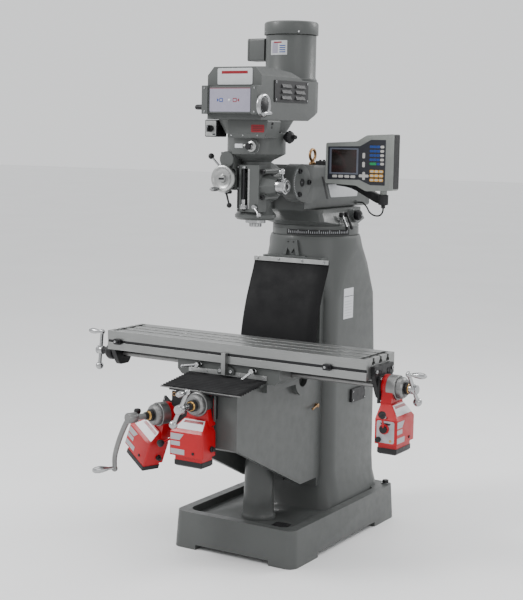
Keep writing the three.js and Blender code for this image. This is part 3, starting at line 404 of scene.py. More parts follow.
class Piece:
    """One visible piece in machine millimetres; each shape on it has its own material."""

    def __init__(self, name):
        self.name = name
        self.mesh = bmesh.new()
        self.materials = []

    def paint(self, faces, material):
        if material not in self.materials:
            self.materials.append(material)
        for face in faces:
            face.material_index = self.materials.index(material)

    def rings(self, rings, material, closed=False):
        """Faces through rings of points; a ring of one point closes to a tip."""
        made = [[self.mesh.verts.new(p) for p in ring] for ring in rings]
        if closed:
            made.append(made[0])
        faces = []
        for low, high in zip(made, made[1:]):
            count = max(len(low), len(high))
            for i in range(count if count > 1 else 0):
                k = (i + 1) % count
                a, b = low[i % len(low)], low[k % len(low)]
                c, d = high[k % len(high)], high[i % len(high)]
                face = [v for n, v in enumerate((a, b, c, d)) if v not in (a, b, c, d)[:n]]
                faces.append(self.mesh.faces.new(face))
        self.paint(faces, material)
        return made

    def lathe(self, profile, point, direction, material, steps=48):
        """Turns (radius, distance) points round a direction from a point."""
        along = Vector(direction).normalized()
        side = along.orthogonal().normalized()
        up = along.cross(side)
        looped = profile[0] == profile[-1]
        rings = []
        for radius, distance in profile[:-1] if looped else profile:
            centre = Vector(point) + along * distance
            if radius == 0:
                rings.append([centre])
                continue
            rings.append([centre + (side * math.cos(t) + up * math.sin(t)) * radius
                          for t in turns(steps)])
        self.rings(rings, material, closed=looped)
        return self

    def pin(self, radius, length, point, direction, material, steps=48):
        """A plain round pin or disc from a point."""
        profile = [(0, 0), (radius, 0), (radius, length), (0, length)]
        return self.lathe(profile, point, direction, material, steps)

    def prism(self, outline, axis, low, high, material):
        """Pushes an outline along an axis; its numbers are the other two coordinates."""
        def point(a, b, c):
            return {"x": (c, a, b), "y": (a, c, b), "z": (a, b, c)}[axis]
        ends = self.rings([[point(a, b, c) for a, b in outline] for c in (low, high)], material)
        self.paint([self.mesh.faces.new(end) for end in ends], material)
        return self

    def loft(self, outlines, material):
        """A closed body through outlines that have the same number of points."""
        made = self.rings(outlines, material)
        self.paint([self.mesh.faces.new(made[0]), self.mesh.faces.new(made[-1])], material)
        return self

    def block(self, low, high, material):
        """A box between two corners."""
        (x0, y0, z0), (x1, y1, z1) = low, high
        return self.prism([(x0, z0), (x1, z0), (x1, z1), (x0, z1)], "y", y0, y1, material)

    def tube(self, points, radii, material, sides=20):
        """A round bar through points, with a radius for each point."""
        points = [Vector(p) for p in points]
        side = (points[1] - points[0]).orthogonal().normalized()
        rings = [[points[0]]]
        for i, (point, radius) in enumerate(zip(points, radii)):
            along = (points[min(i + 1, len(points) - 1)] - points[max(i - 1, 0)]).normalized()
            side = (side - along * side.dot(along)).normalized()
            up = along.cross(side)
            rings.append([point + (side * math.cos(t) + up * math.sin(t)) * radius for t in turns(sides)])
        rings.append([points[-1]])
        self.rings(rings, material)
        return self

    def ball(self, centre, radius, material, stretch=1.0, direction=UP):
        """A ball, stretched along a direction."""
        arc = [math.pi * i / 16 for i in range(17)]
        profile = [(radius * math.sin(t), -radius * stretch * math.cos(t)) for t in arc]
        profile[0], profile[-1] = (0, -radius * stretch), (0, radius * stretch)
        return self.lathe(profile, centre, direction, material, 32)

    def screw(self, point, direction, radius, material, height=None):
        """A socket head cap screw with its hexagon recess."""
        height = height or radius * 0.9
        along = Vector(direction).normalized()
        self.lathe([(0, 0), (radius, 0), (radius, height * 0.85), (radius * 0.9, height),
                    (radius * 0.5, height), (radius * 0.5, height * 0.45), (0, height * 0.45)], point,
                   along, material, 24)
        return self

    def screws(self, points, *look):
        for point in points:
            self.screw(point, *look)

    def done(self, body, slot, replaces=(), bevel=0.5):
        """Makes the object; the bevel is in millimetres."""
        bmesh.ops.recalc_face_normals(self.mesh, faces=self.mesh.faces)
        for vertex in self.mesh.verts:
            vertex.co = place(vertex.co)
        for face in self.mesh.faces:
            face.smooth = True
        for edge in self.mesh.edges:
            edge.smooth = edge.calc_face_angle(0) < SMOOTH_ANGLE
        data = bpy.data.meshes.new(self.name)
        self.mesh.to_mesh(data)
        self.mesh.free()
        for material in self.materials:
            data.materials.append(material)
        obj = linked(self.name, data)
        if bevel:
            bevelled(obj, bevel * MM)
        if replaces:
            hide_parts(*replaces)
        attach(obj, body)


def rounded(outline, radius, chords=6):
    """An outline with each corner replaced by a curve."""
    points = []
    for i, corner in enumerate(outline):
        corner = Vector(corner)
        before = Vector(outline[i - 1]) - corner
        after = Vector(outline[(i + 1) % len(outline)]) - corner
        start, end = corner + before.normalized() * radius, corner + after.normalized() * radius
        for k in range(chords + 1):
            t = k / chords
            points.append(tuple(start * (1 - t) ** 2 + corner * 2 * t * (1 - t) + end * t * t))
    return points


def rectangle(x0, y0, x1, y1):
    """The four corners of a rectangle."""
    return [(x0, y0), (x1, y0), (x1, y1), (x0, y1)]


def spline(points, steps):
    """Points along a smooth curve through given points."""
    points = [Vector(p) for p in points]
    padded = [points[0] * 2 - points[1], *points, points[-1] * 2 - points[-2]]
    line = []
    for i in range(1, len(padded) - 2):
        p0, p1, p2, p3 = padded[i - 1:i + 3]
        for k in range(steps):
            t = k / steps
            line.append(0.5 * (2 * p1 + (p2 - p0) * t + (2 * p0 - 5 * p1 + 4 * p2 - p3) * t * t +
                               (3 * p1 - p0 - 3 * p2 + p3) * t ** 3))
    return [*line, points[-1]]


# ---- The readout's cable ----

CABLE_DIAMETER = 0.007
CABLE_ROUTE = [(0.446, -0.222, 1.5077), (0.446, -0.2215, 1.497), (0.442, -0.217, 1.486),
               (0.432, -0.205, 1.476), (0.416, -0.186, 1.468), (0.396, -0.161, 1.463),
               (0.372, -0.131, 1.460), (0.346, -0.098, 1.459), (0.318, -0.062, 1.460),
               (0.290, -0.024, 1.463), (0.264, 0.014, 1.467), (0.240, 0.050, 1.474),
               (0.218, 0.084, 1.481), (0.194, 0.118, 1.487), (0.168, 0.154, 1.493), (0.148, 0.178, 1.497),
               (0.132, 0.1875, 1.498), (0.1165, 0.188, 1.498)]


def readout_cable():
    """A thin lead from below the readout's arm to a gland on the ram's side."""
    line = [place(point / MM) for point in spline(CABLE_ROUTE, 4)]
    curve = bpy.data.curves.new("readout_cable", "CURVE")
    curve.dimensions = "3D"
    curve.bevel_depth = CABLE_DIAMETER / 2
    curve.bevel_resolution = 5
    curve.use_fill_caps = True
    curve.materials.append(RUBBER)
    path = curve.splines.new("POLY")
    path.points.add(len(line) - 1)
    for point, position in zip(path.points, line):
        point.co = (*position, 1)
    cable = linked("readout_cable", curve)
    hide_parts("display_cable")
    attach(cable, "ram")


readout_cable()

# ---- Way covers ----

SHEET_HALF = 190
SHEET_LINE = [(-220, 1255), (-220, 1236), (-230, 1200), (-254, 1140), (-284, 1060), (-310, 960),
              (-326, 858)]


def sheet_mesh(name, rows, material, thickness):
    """A sheet through rows of points, given thickness by a modifier."""
    mesh = bmesh.new()
    grid = [[mesh.verts.new(place(point)) for point in row] for row in rows]
    for low, high in zip(grid, grid[1:]):
        for a, b, c, d in zip(low, low[1:], high[1:], high):
            mesh.faces.new((a, b, c, d)).smooth = True
    bmesh.ops.recalc_face_normals(mesh, faces=mesh.faces)
    data = bpy.data.meshes.new(name)
    mesh.to_mesh(data)
    mesh.free()
    data.materials.append(material)
    obj = linked(name, data)
    solid = obj.modifiers.new("thickness", "SOLIDIFY")
    solid.thickness = thickness
    solid.offset = 0
    return obj


def applied(obj):
    """Makes the modifiers part of the mesh, which a bending piece needs."""
    graph = bpy.context.evaluated_depsgraph_get()
    data = bpy.data.meshes.new_from_object(obj.evaluated_get(graph))
    obj.modifiers.clear()
    obj.data = data
    return obj


def rear_cover():
    """A rubber sheet that hangs from its bar and leans out towards the table."""
    line = spline([(0, y, z) for y, z in SHEET_LINE], 6)
    rows = []
    for i, point in enumerate(line):
        drop = i / (len(line) - 1)
        row = []
        for k in range(41):
            across = k / 20 - 1
            wave = 3.2 * math.sin(2.6 * across + 1.1) * drop + 1.6 * math.sin(7 * across) * drop
            sag = -1.8 * math.sin(math.pi * 3 * drop) * math.cos(math.pi * across / 2)
            curl = max(0, (across - 0.72) / 0.28) ** 2 * math.sin(math.pi * min(drop * 1.25, 1) / 2)
            inward = 13 * max(0, across) * math.sin(math.pi * min(drop * 1.5, 1) / 2) ** 2
            outward = 6 * max(0, -across) * drop
            row.append((SHEET_HALF * across - inward - outward,
                        point.y + wave * 0.5 + sag * 0.5 + 20 * curl, point.z))
        rows.append(row)
    cover = applied(sheet_mesh("rear_cover_sheet", rows, RUBBER, 0.003))
    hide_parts("rear_way_cover")
    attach(cover, "base")
    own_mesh(cover)


def front_cover():
    """A pleated rubber cover between the saddle's front and the end of the knee."""
    rear, front = (-741.5, 795.5), (-948, 769)
    pleats, steps, fold_height = 11, 12, 4.0
    half = 192
    rows, line = [], []
    for i in range(pleats * steps + 1):
        t = i / (pleats * steps)
        fold = fold_height * math.cos(2 * math.pi * i / steps)
        y, z = (a + (b - a) * t for a, b in zip(rear, front))
        line.append(Vector((0, y, z + fold)))
        rows.append([(half * (k / 8 - 1), y, z + fold) for k in range(17)])
    cover = applied(sheet_mesh("front_cover_sheet", rows, RUBBER, 0.0014))
    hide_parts("front_way_cover")
    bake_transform(cover)


rear_cover()
front_cover()

# ---- Base, column and turret ----


def on_cylinder(piece, centre, radius, angles, heights, material, thickness=0.6, steps=24):
    """A thin curved plate on an upright cylinder; angle 0 faces the operator."""
    (start, end), (low, high) = angles, heights
    rings = []
    for i in range(steps + 1):
        angle = math.radians(start + (end - start) * i / steps)
        out = Vector((math.sin(angle), -math.cos(angle), 0))
        inner = Vector((*centre, 0)) + out * (radius - 1)
        outer = Vector((*centre, 0)) + out * (radius + thickness)
        rings.append([(*inner.xy, low), (*outer.xy, low), (*outer.xy, high), (*inner.xy, high)])
    piece.loft(rings, material)


def lever(name, body, slot, node, hub, arm, knob):
    """A lever with a turned hub, a bent arm and a ball, from their shapes' arguments."""
    piece = Piece(name)
    piece.lathe(*hub)
    piece.tube(*arm)
    piece.ball(*knob)
    piece.done(body, slot, [node])


def base_details():
    """Strainer, bolts, pedestal, lug, labels and cover on the base casting."""
    strainer = Piece("tray_strainer")
    strainer.block((118, -566, 129.2), (186, -498, 134), BLACKED)
    for i in range(6):
        x = 124 + 10 * i
        strainer.block((x, -560, 134), (x + 5, -504, 136), BLACKED)
    strainer.done("base", "black_oxide")

    bolts = Piece("holding_down_bolts")
    for side in (-268, 268):
        bolts.lathe([(0, -10), (10, -10), (10, 1), (20, 1), (20, 4), (0, 4)], (side, 262, 162), UP, STEEL)
        bolts.lathe([(0, 4), (15, 4), (16, 5), (16, 15), (14, 17), (0, 17)], (side, 262, 162), UP,
                    BLACKED, 6)
    bolts.done("base", "black_oxide")

    pedestal = Piece("pedestal_casting")
    low, high = corners("screw_pedestal")
    middle = ((low.x + high.x) / 2, (low.y + high.y) / 2, low.z)
    pedestal.lathe([(20, 0), (76, 0), (76, 12), (73, 18), (69, 26), (67.5, 60), (62, 230), (60, 250),
                    (57, 262), (55, 300), (53, high.z - low.z - 3), (50, high.z - low.z),
                    (20, high.z - low.z), (20, 0)], middle, UP, GREY, 72)
    flange = (middle[0], middle[1], low.z + 13)
    pedestal.screws([around(flange, 70, turn) for turn in turns(4, math.pi / 4)], UP, 4.5, BLACKED)
    pedestal.done("base", "grey_paint", ["screw_pedestal"])

    lug = Piece("column_lug")
    lug.prism([(-48, 1272), (-34, 1340), (24, 1340), (36, 1272), (20, 1272), (11, 1304), (-6, 1280),
               (-23, 1304), (-32, 1272)], "y", -217, -198, GREY)
    lug.prism(rounded([(-78, 1258), (74, 1258), (66, 1270), (-70, 1270)], 3), "y", -214, -200, GREY)
    lug.screws([(x, -217, 1331) for x in (-20, 8)], FRONT, 3.5, BLACKED, 2)
    lug.done("base", "grey_paint", bevel=1.5)

    labels = Piece("column_labels")
    labels.block((200, -88, 984), (201.0, 4, 1122), WHITE)
    labels.block((201.0, -84, 1084), (201.15, 0, 1087), PANEL)
    for i in range(6):
        labels.block((201.0, -78, 996 + 13 * i), (201.15, -10, 998 + 13 * i), PALE_GREY)
    labels.done("base", "black_plastic", bevel=0)

    box = Piece("lubricator_cover")
    box.prism(rounded(rectangle(-6, 590, 128, 652), 8), "x", 200, 213, BLACKED)
    box.screws([(213, y, z) for y in (4, 118) for z in (600, 642)], RIGHT, 4, STEEL)
    box.done("base", "black_oxide", bevel=1.5)

    bar = Piece("cover_bar_screws")
    bar.screws([(x, -229.5, 1249) for x in (-170, -60, 60, 170)], FRONT, 5, STEEL)
    bar.done("base", "bright_steel")


def turret_details():
    """Turret ring, its scale and bolts, pinion knob and lock levers."""
    casting = Piece("turret_ring")
    casting.lathe([(0, 1357.3), (196, 1357.3), (197, 1359), (197, 1389), (194, 1391), (194, 1393),
                   (197, 1395), (197, 1401), (195.5, 1404), (189, 1410), (186, 1414), (160, 1416),
                   (0, 1416)], (0, 0, 0), UP, GREY, 128)
    casting.done("turret", "grey_paint")

    scale = Piece("swivel_scale")
    on_cylinder(scale, (0, 0), 197, (-12, 78), (1362, 1387), BLACKED, 0.7, 40)
    for i in range(31):
        angle = -9 + 2.8 * i
        top = 1385 if i % 5 == 0 else 1379
        on_cylinder(scale, (0, 0), 198, (angle, angle + 0.5), (1370, top), WHITE, 0.1, 1)
    scale.done("turret", "black_oxide", bevel=0)

    bolts = Piece("turret_bolts")
    for degrees in (28, 152, 208, 332):
        at = around((0, 0, 1414), 176, math.radians(degrees))
        bolts.pin(16, 3, at, UP, STEEL)
        bolts.lathe([(0, 3), (12, 3), (12.5, 4), (12.5, 13), (11, 15), (0, 15)], at, UP, BLACKED, 6)
    bolts.done("turret", "black_oxide")

    knob = Piece("pinion_knob_grip")
    knob.lathe([(0, -20), (8, -20), (8, 1), (20, 1), (24, 8), (24.5, 14), (22, 24), (15, 30), (8, 33.5),
                (0, 34)], (168, 68, 1446), RIGHT, PLASTIC, 48)
    knob.lathe([(0, 33), (5, 33), (5, 34.3), (0, 34.3)], (168, 68, 1446), RIGHT, STEEL)
    knob.done("pinion_knob", "black_plastic", ["ram_pinion_knob"])

    for side, y, metal in (("front", -72, STEEL), ("rear", -26, BLACKED)):
        lever(f"lock_lever_{side}", f"ram_lock_{side}", "black_oxide", f"ram_lock_lever_{side}",
              ([(0, 0), (11, 0), (11, 15), (9.5, 17.5), (0, 17.5)], (162.5, y, 1452), RIGHT,
               BLACKED),
              ([(172, y, 1452), (178, y - 3, 1444), (209, y - 20, 1396)], [6, 4.5, 6], metal),
              ((209, y - 20, 1395), 8, BLACKED))


def ram_details():
    """The ram's cheeks, badge, readout arm and lifting ring."""
    side = corners("ram")[1].x
    nod_axis = (-357, 1602)
    cheeks = Piece("knuckle_cheeks")
    for sign in (-1, 1):
        face, out = 120 * sign, (sign, 0, 0)
        cheeks.lathe([(0, -1), (76, -1), (76, 2.4), (74, 3.4), (0, 3.4)], (face, *nod_axis), out, GREY,
                     96)
        cheeks.lathe([(0, 3), (18, 3), (18, 5), (15, 5.5), (15, 4), (0, 4)], (face, *nod_axis), out,
                     BLACKED, 40)
        cheeks.block((face + sign * 4 - 1, -366, 1600), (face + sign * 4 + 1, -348, 1604), STEEL)
        for degrees in (0, 117, 243):
            at = around((face + sign * 3, *nod_axis), 56, math.radians(degrees), "x")
            cheeks.screw(at, out, 11.5, BLACKED)
    cheeks.done("ram", "grey_paint")

    scale = Piece("nod_scale")
    for i in range(19):
        turn = math.radians(126 + 6 * i)
        mark = [around((123.6, *nod_axis), radius, turn, "x") for radius in (66, 73)]
        scale.tube(mark, [0.7, 0.7], WHITE, 6)
    scale.done("ram", "bright_steel", bevel=0)

    badge = Piece("ram_badge")
    badge.prism(rounded([(-60, 1528), (199, 1526), (212, 1586), (-90, 1587)], 6), "x", side - 15.3,
                side - 12.8, BADGE)
    # Black slanted strip left of the badge: painted shade along the step of the casting round the badge's recess.
    badge.prism([(-150, 1624), (-134, 1624), (-80, 1522), (-96, 1522)], "x", side - 15.5, side - 14.4,
                BLACKED)
    badge.done("ram", "satin_aluminium", bevel=0.4)

    arm = Piece("readout_arm")
    arm.block((105.5, -70, 1590), (133.5, 14, 1690), BLACKED)
    arm.block((30, -70, 1672.5), (133, -12, 1690), BLACKED)
    route = spline([(123, -28, 1604), (214, -62, 1594), (320, -122, 1562), (392, -178, 1542),
                    (446, -222, 1537)], 6)
    rings = []
    for i, point in enumerate(route):
        along = route[min(i + 1, len(route) - 1)] - route[max(i - 1, 0)]
        side_step = Vector((along.y, -along.x, 0)).normalized() * 9
        half = 22 - 2 * i / len(route)
        rings.append([point + side_step * u + Vector((0, 0, half * v)) for u,
                      v in ((-1, -0.8), (-0.7, -1), (0.7, -1), (1, -0.8), (1, 0.8), (0.7, 1), (-0.7, 1),
                            (-1, 0.8))])
    arm.loft(rings, BLACKED)
    arm.lathe([(0, -38), (8, -38), (9, -36), (9, -26), (20, -23), (21.5, -21), (21.5, 18), (20, 20),
               (0, 20)], (446, -222, 1538), UP, BLACKED)
    arm.done("ram", "black_plastic", ["display_arm"])

    clamp = Piece("arm_clamp_screws")
    clamp.screws([(133.3, y, z) for y in (-58, 2) for z in (1604, 1672)], RIGHT, 6, BLACKED)
    clamp.screws([(48, y, 1690) for y in (-60, -24)], UP, 6, BLACKED)
    clamp.done("ram", "black_oxide")

    eye = Piece("lifting_ring")
    middle = Vector((0, -45, 1716))
    rings = []
    for turn in turns(64):
        centre = around(middle, 25, turn, "x")
        out = (centre - middle).normalized()
        rings.append([centre + out * 6.5 * math.cos(t) + Vector((6.5 * math.sin(t), 0, 0))
                      for t in turns(20)])
    eye.rings(rings, BRONZE, closed=True)
    eye.lathe([(0, 0.3), (16, 0.3), (16.5, 2), (16, 9), (12, 12), (9, 15), (8.5, 24), (0, 24)],
              (0, -45, 1672), UP, BRONZE)
    eye.done("ram", "bronze", ["lifting_eye"])


base_details()
turret_details()
ram_details()

# ---- Readout ----


def readout_details():
    """The readout's screen and keys, its trim and the back."""
    low, high = corners("display")
    left, face = low.x, low.y
    panel = Piece("readout_panel")
    outline = [(11, 1617), (165, 1619), (216, 1598), (286, 1598), (286, 1790), (216, 1790), (165, 1762),
               (11, 1758)]
    outline = rounded([(left + x, z) for x, z in outline], 3)

    def plate(shape, depth, material, corner=2.0):
        x0, z0, x1, z1 = shape
        ring = rounded(rectangle(left + x0, z0, left + x1, z1), corner)
        panel.prism(ring, "y", face - depth, face + 0.5, material)

    panel.prism(outline, "y", face - 0.8, face + 1, PANEL)
    plate((20, 1641, 158, 1753), 1.6, SLATE, 3)
    plate((29, 1648, 150, 1747), 1.9, SCREEN, 1)
    for i in range(4):
        plate((35 + 29.3 * i, 1626, 58 + 29.3 * i, 1637), 2.4, KEY_WHITE, 4)
    for z in (1673, 1711):
        plate((178, z, 190, z + 23), 2.4, KEY_WHITE, 5)
    plate((163, 1630, 209, 1642), 2.4, KEY_WHITE, 5)
    plate((180, 1619, 192, 1653), 2.5, KEY_WHITE, 5)
    for row in range(4):
        z = 1755 - 18.2 * row
        for column in range(3):
            x = 212 + 16.4 * column
            plate((x, z, x + 15, z + 11), 2.2, KEY_BLUE, 3)
        plate((262, z, 279, z + 11), 2.4, KEY_WHITE, 5)
    plate((213, 1683, 244, 1694), 2.4, KEY_GREEN, 5)
    plate((246, 1683, 260, 1694), 2.2, KEY_BLUE, 3)
    plate((263, 1683, 280, 1694), 2.4, KEY_WHITE, 5)
    for row in range(3):
        z = 1650 - 18.3 * row
        for column in range(3):
            x = 214 + 21.4 * column
            plate((x, z, x + 21, z + 13), 2.0, KEY_YELLOW, 5)
            plate((x + 3, z + 2.5, x + 18, z + 10.5), 2.4, KEY_WHITE, 3.5)
    panel.done("display", "readout_grey", bevel=0.3)

    trim = Piece("readout_trim")
    for x in (293, 299, 305):
        trim.block((left + x, face - 0.7, 1590), (left + x + 3, face + 1, 1802), READOUT)
    trim.prism(rounded(rectangle(face + 2, 1584, high.y - 1, 1812), 4), "x", high.x - 1, high.x + 1.5,
               PLASTIC)
    back = high.y
    trim.block((left + 30, back - 1, 1640), (left + 150, back + 1.2, 1740), PLASTIC)
    for i in range(6):
        trim.block((left + 40, back + 1, 1652 + 14 * i), (left + 140, back + 2.2, 1658 + 14 * i), PLASTIC)
    for i in range(3):
        at = (left + 200 + 34 * i, back - 0.5, 1616)
        trim.lathe([(0, 0), (11, 0), (11, 5), (8, 8), (0, 8)], at, BACK, BLACKED)
        trim.lathe([(0, 8), (3, 8), (3, 10), (0, 10)], at, BACK, STEEL)
    trim.screws([(left + x, back - 0.5, z) for x, z in ((8, 1608), (8, 1766), (high.x - left - 8, 1586),
                                                        (high.x - left - 8, 1804))], BACK, 3, BLACKED)
    trim.done("display", "black_plastic")


readout_details()

# ---- Head ----

QUILL_Y = -536
MOTOR_Y = -262


def motor_details():
    """Motor, fan cover, nameplate and junction box."""
    body = Piece("motor_shell")
    low, high = corners("motor")
    tall = high.z - low.z
    body.lathe([(18, 0), (114, 0), (116, 2), (116, 10), (114, 12), (111, 13.5), (110, 16),
                (110, tall - 3), (108, tall), (0, tall), (0, tall - 6), (18, tall - 6), (18, 0)],
               (0, MOTOR_Y, low.z), UP, GREY, 96)
    for turn in turns(4, math.radians(20)):
        body.screw(around((0, MOTOR_Y, low.z + 11), 106, turn), UP, 6, BLACKED)
    body.done("head", "grey_paint", ["motor"], bevel=0.6)

    low, high = corners("motor_fan_cover")
    tall = high.z - low.z
    cap = Piece("fan_cover")
    cap.lathe([(0, 0.5), (117.5, 0.5), (118, 1.5), (118, tall - 12), (116, tall - 6), (111, tall - 2.2),
               (104, tall - 0.6), (60, tall - 0.2), (0, tall - 0.2)], (0, MOTOR_Y, low.z), UP, GREY, 96)
    for ring in range(3):
        for turn in turns(6 + 6 * ring):
            at = around((0, MOTOR_Y, high.z - 0.9), 26 + 24 * ring, turn)
            cap.pin(5, 0.8, at, UP, PLASTIC, 16)
    for turn in turns(4, math.pi / 4):
        at = around((0, MOTOR_Y, low.z + 10), 117.6, turn)
        cap.screw(at, around((0, 0, 0), 1, turn), 3.5, STEEL, 2)
    cap.done("head", "grey_paint", ["motor_fan_cover"], bevel=0)

    plate = Piece("motor_nameplate")
    on_cylinder(plate, (0, MOTOR_Y), 110, (-21, 21), (2146, 2207), BADGE, 0.8)
    on_cylinder(plate, (0, MOTOR_Y), 110.9, (-17, -1), (2153, 2200), LILAC, 0.2)
    on_cylinder(plate, (0, MOTOR_Y), 111.0, (-12, 8), (2196, 2202), PLATE_RED, 0.2)
    for i in range(4):
        on_cylinder(plate, (0, MOTOR_Y), 110.9, (3, 17), (2156 + 9 * i, 2160 + 9 * i), KEY_BLUE, 0.15)
    plate.done("head", "satin_aluminium", bevel=0)

    box = Piece("junction_box")
    low, high = corners("motor_junction_box")
    box.prism(rounded(rectangle(low.y, low.z, high.y, high.z), 9), "x", low.x + 9, high.x, GREY)
    box.prism(rounded(rectangle(low.y, low.z, high.y, high.z), 9), "x", low.x, low.x + 7.5, GREY)
    box.prism(rounded(rectangle(low.y + 3, low.z + 3, high.y - 3, high.z - 3), 7), "x", low.x + 7,
              low.x + 9.5, BLACKED)
    box.block((high.x - 4, -286, 2132), (-96, -238, 2216), GREY)
    box.screws([(low.x, y, z) for y in (-298, -226) for z in (2133, 2215)], LEFT, 3.5, STEEL, 1.5)
    box.done("head", "grey_paint", ["motor_junction_box"], bevel=2)


def belt_housing_details():
    """The belt housing's badge, speed label, louvres and screws."""
    front = corners("belt_housing")[0].y
    badge = Piece("front_badge")
    badge.prism(rounded(rectangle(-80, 2006, 88, 2073), 7), "y", front - 3, front + 1, BADGE)
    badge.prism(rectangle(-60, 2050, 66, 2062), "y", front - 3.5, front - 2, PLATE_RED)
    badge.done("head", "satin_aluminium", bevel=0.8)

    label_front = corners("speed_plate")[0].y + 8
    label = Piece("speed_label")
    label.prism(rounded(rectangle(-98, 1896, 97, 1992), 3), "y", label_front - 1.5, label_front + 1,
                LILAC)
    ink = label_front - 1.9
    label.prism([(-62, 1936), (-62, 1950), (-53, 1943)], "y", ink, label_front - 1, KEY_BLUE)
    label.prism([(44, 1936), (44, 1950), (35, 1943)], "y", ink, label_front - 1, PLATE_RED)
    for x0, x1, material in ((-51, -34, KEY_BLUE), (14, 33, PLATE_RED)):
        label.prism(rounded(rectangle(x0, 1935, x1, 1951), 4), "y", ink, label_front - 1, material)
        label.prism(rounded(rectangle(x0 + 3, 1938, x1 - 3, 1948), 3), "y", ink - 0.2, label_front - 1,
                    LILAC)
    label.ball((-3, label_front - 1.5, 1943), 5.5, WHITE, 0.5, BACK)
    label.prism(rectangle(-97, 1989.5, 96, 1991.5), "y", ink, label_front - 1, PLATE_RED)
    label.done("head", "satin_aluminium", bevel=0)

    rails = Piece("speed_plate_rails")
    for x in (-120, 120):
        rails.screws([(x, label_front - 8, z) for z in (1896, 1992)], FRONT, 4, STEEL, 2.5)
    rails.done("head", "bright_steel")

    face = corners("vent_plate")[1].x
    vent = Piece("vent_louvres")
    for row in range(3):
        z = 2006 - 24 * row
        for y in (-572, -456):
            outline = [(y + 6, z + 8), (y + 80, z + 8), (y + 86, z - 7), (y, z - 7)]
            low_ring = [(face - 1, a, b) for a, b in outline]
            lift = [(face + 1, *outline[0]), (face + 1, *outline[1]),
                    (face + 8, outline[2][0] - 4, outline[2][1] + 1),
                    (face + 8, outline[3][0] + 4, outline[3][1] + 1)]
            vent.loft([low_ring, lift], BLACKED)
    vent.screws([(face, y, z) for y in (-612, -350) for z in (1949, 2020)], RIGHT, 4.5, STEEL, 2.5)
    vent.done("head", "black_oxide", bevel=1)

    seams = Piece("housing_screws")
    seams.screws([(x, y, 2044) for x, y in ((-112, -640), (112, -640), (-118, -430), (118, -430))], UP, 5,
                 BLACKED)
    seams.screws([(x, -180, 2034) for x in (-60, 60)], UP, 5, BLACKED)
    seams.done("head", "black_oxide")


def gear_housing_details():
    """The drive housing's front, its plates, range lever and feed selector."""
    front = -678.5
    box = Piece("drive_housing_front")
    box.prism(rounded([(-58, 1864.3), (-50, 1790), (128, 1790), (138, 1864.3)], 9), "y", front, -575,
              GREY)
    box.prism(rounded([(-52, 1808), (-48, 1794), (124, 1794), (128, 1808)], 4), "y", front - 2, front + 2,
              GREY)
    box.screws([(x, front - 2, 1801) for x in (-38, 20, 90)], FRONT, 3.5, STEEL, 1.5)
    box.block((-112, -640, 1662), (-46, -560, 1730), GREY)
    box.lathe([(0, 0), (34, 0), (34, 8), (31, 10), (0, 10)], (-79, -640, 1700), FRONT, GREY)
    box.screws([(x, -640, z) for x, z in ((130, 1835), (134, 1850))], RIGHT, 6, BLACKED, 5)
    box.done("head", "grey_paint", bevel=2)

    plate = Piece("drive_plate")
    plate.prism(rounded(rectangle(58, 1814, 121, 1845), 5), "y", front - 0.8, front + 1, PLATE_RED)
    for z in (1821, 1828, 1835):
        plate.prism(rectangle(66, z, 113, z + 2.2), "y", front - 1.0, front, BLACKED)
    plate.done("head", "red_paint", bevel=0)

    label = Piece("range_label")
    on_cylinder(label, (0, QUILL_Y), 124, (-16, 3), (1749, 1766), WHITE, 0.6)
    label.done("head", "satin_aluminium", bevel=0)

    rose = Piece("range_rose")
    rose.lathe([(24, 0), (31, 0), (31, 1.6), (24, 1.6), (24, 0)], (52, -651, 1756), FRONT, ALUMINIUM, 64)
    rose.lathe([(0, 0), (30, 0), (31, 9.5), (0, 9.5)], (52, -651, 1756), FRONT, GREY, 64)
    rose.done("head", "satin_aluminium")

    screws = Piece("gear_housing_screws")
    for degrees in range(-200, 41, 40):
        screws.screw(around((0, QUILL_Y, 1811), 112, math.radians(degrees)), UP, 5, BLACKED, 6)
    screws.done("head", "black_oxide")

    arm = Piece("range_lever_arm")
    arm.lathe([(0, 0), (22, 0), (23, 1.5), (22, 6), (15, 9), (13, 12), (12.5, 23), (10, 26), (0, 26)],
              (52, -661, 1756), FRONT, ALUMINIUM)
    arm.tube([(50, -670, 1756), (32, -670, 1758), (16, -669, 1760)], [5, 6, 4.5], ALUMINIUM)
    arm.lathe([(0, 24), (13, 24), (14, 26), (14, 32), (11, 35), (0, 35)], (52, -661, 1756), FRONT,
              PLASTIC)
    arm.done("range_lever", "satin_aluminium", ["range_lever"])

    knob = Piece("feed_selector")
    along = (1, -0.25, 0)
    knob.lathe([(0, 0), (13, 0), (14, 2), (16, 12), (22, 14), (24, 17), (24, 32), (22, 35), (17, 40),
                (9, 42), (9, 60), (7.5, 62), (0, 62)], (127, -516, 1796), along, PLASTIC)
    for turn in turns(8):
        knob.ball(around((151, -522, 1796), 23, turn, "x"), 4.5, PLASTIC, 2.0, along)
    knob.done("feed_knob", "black_plastic", ["feed_knob"])


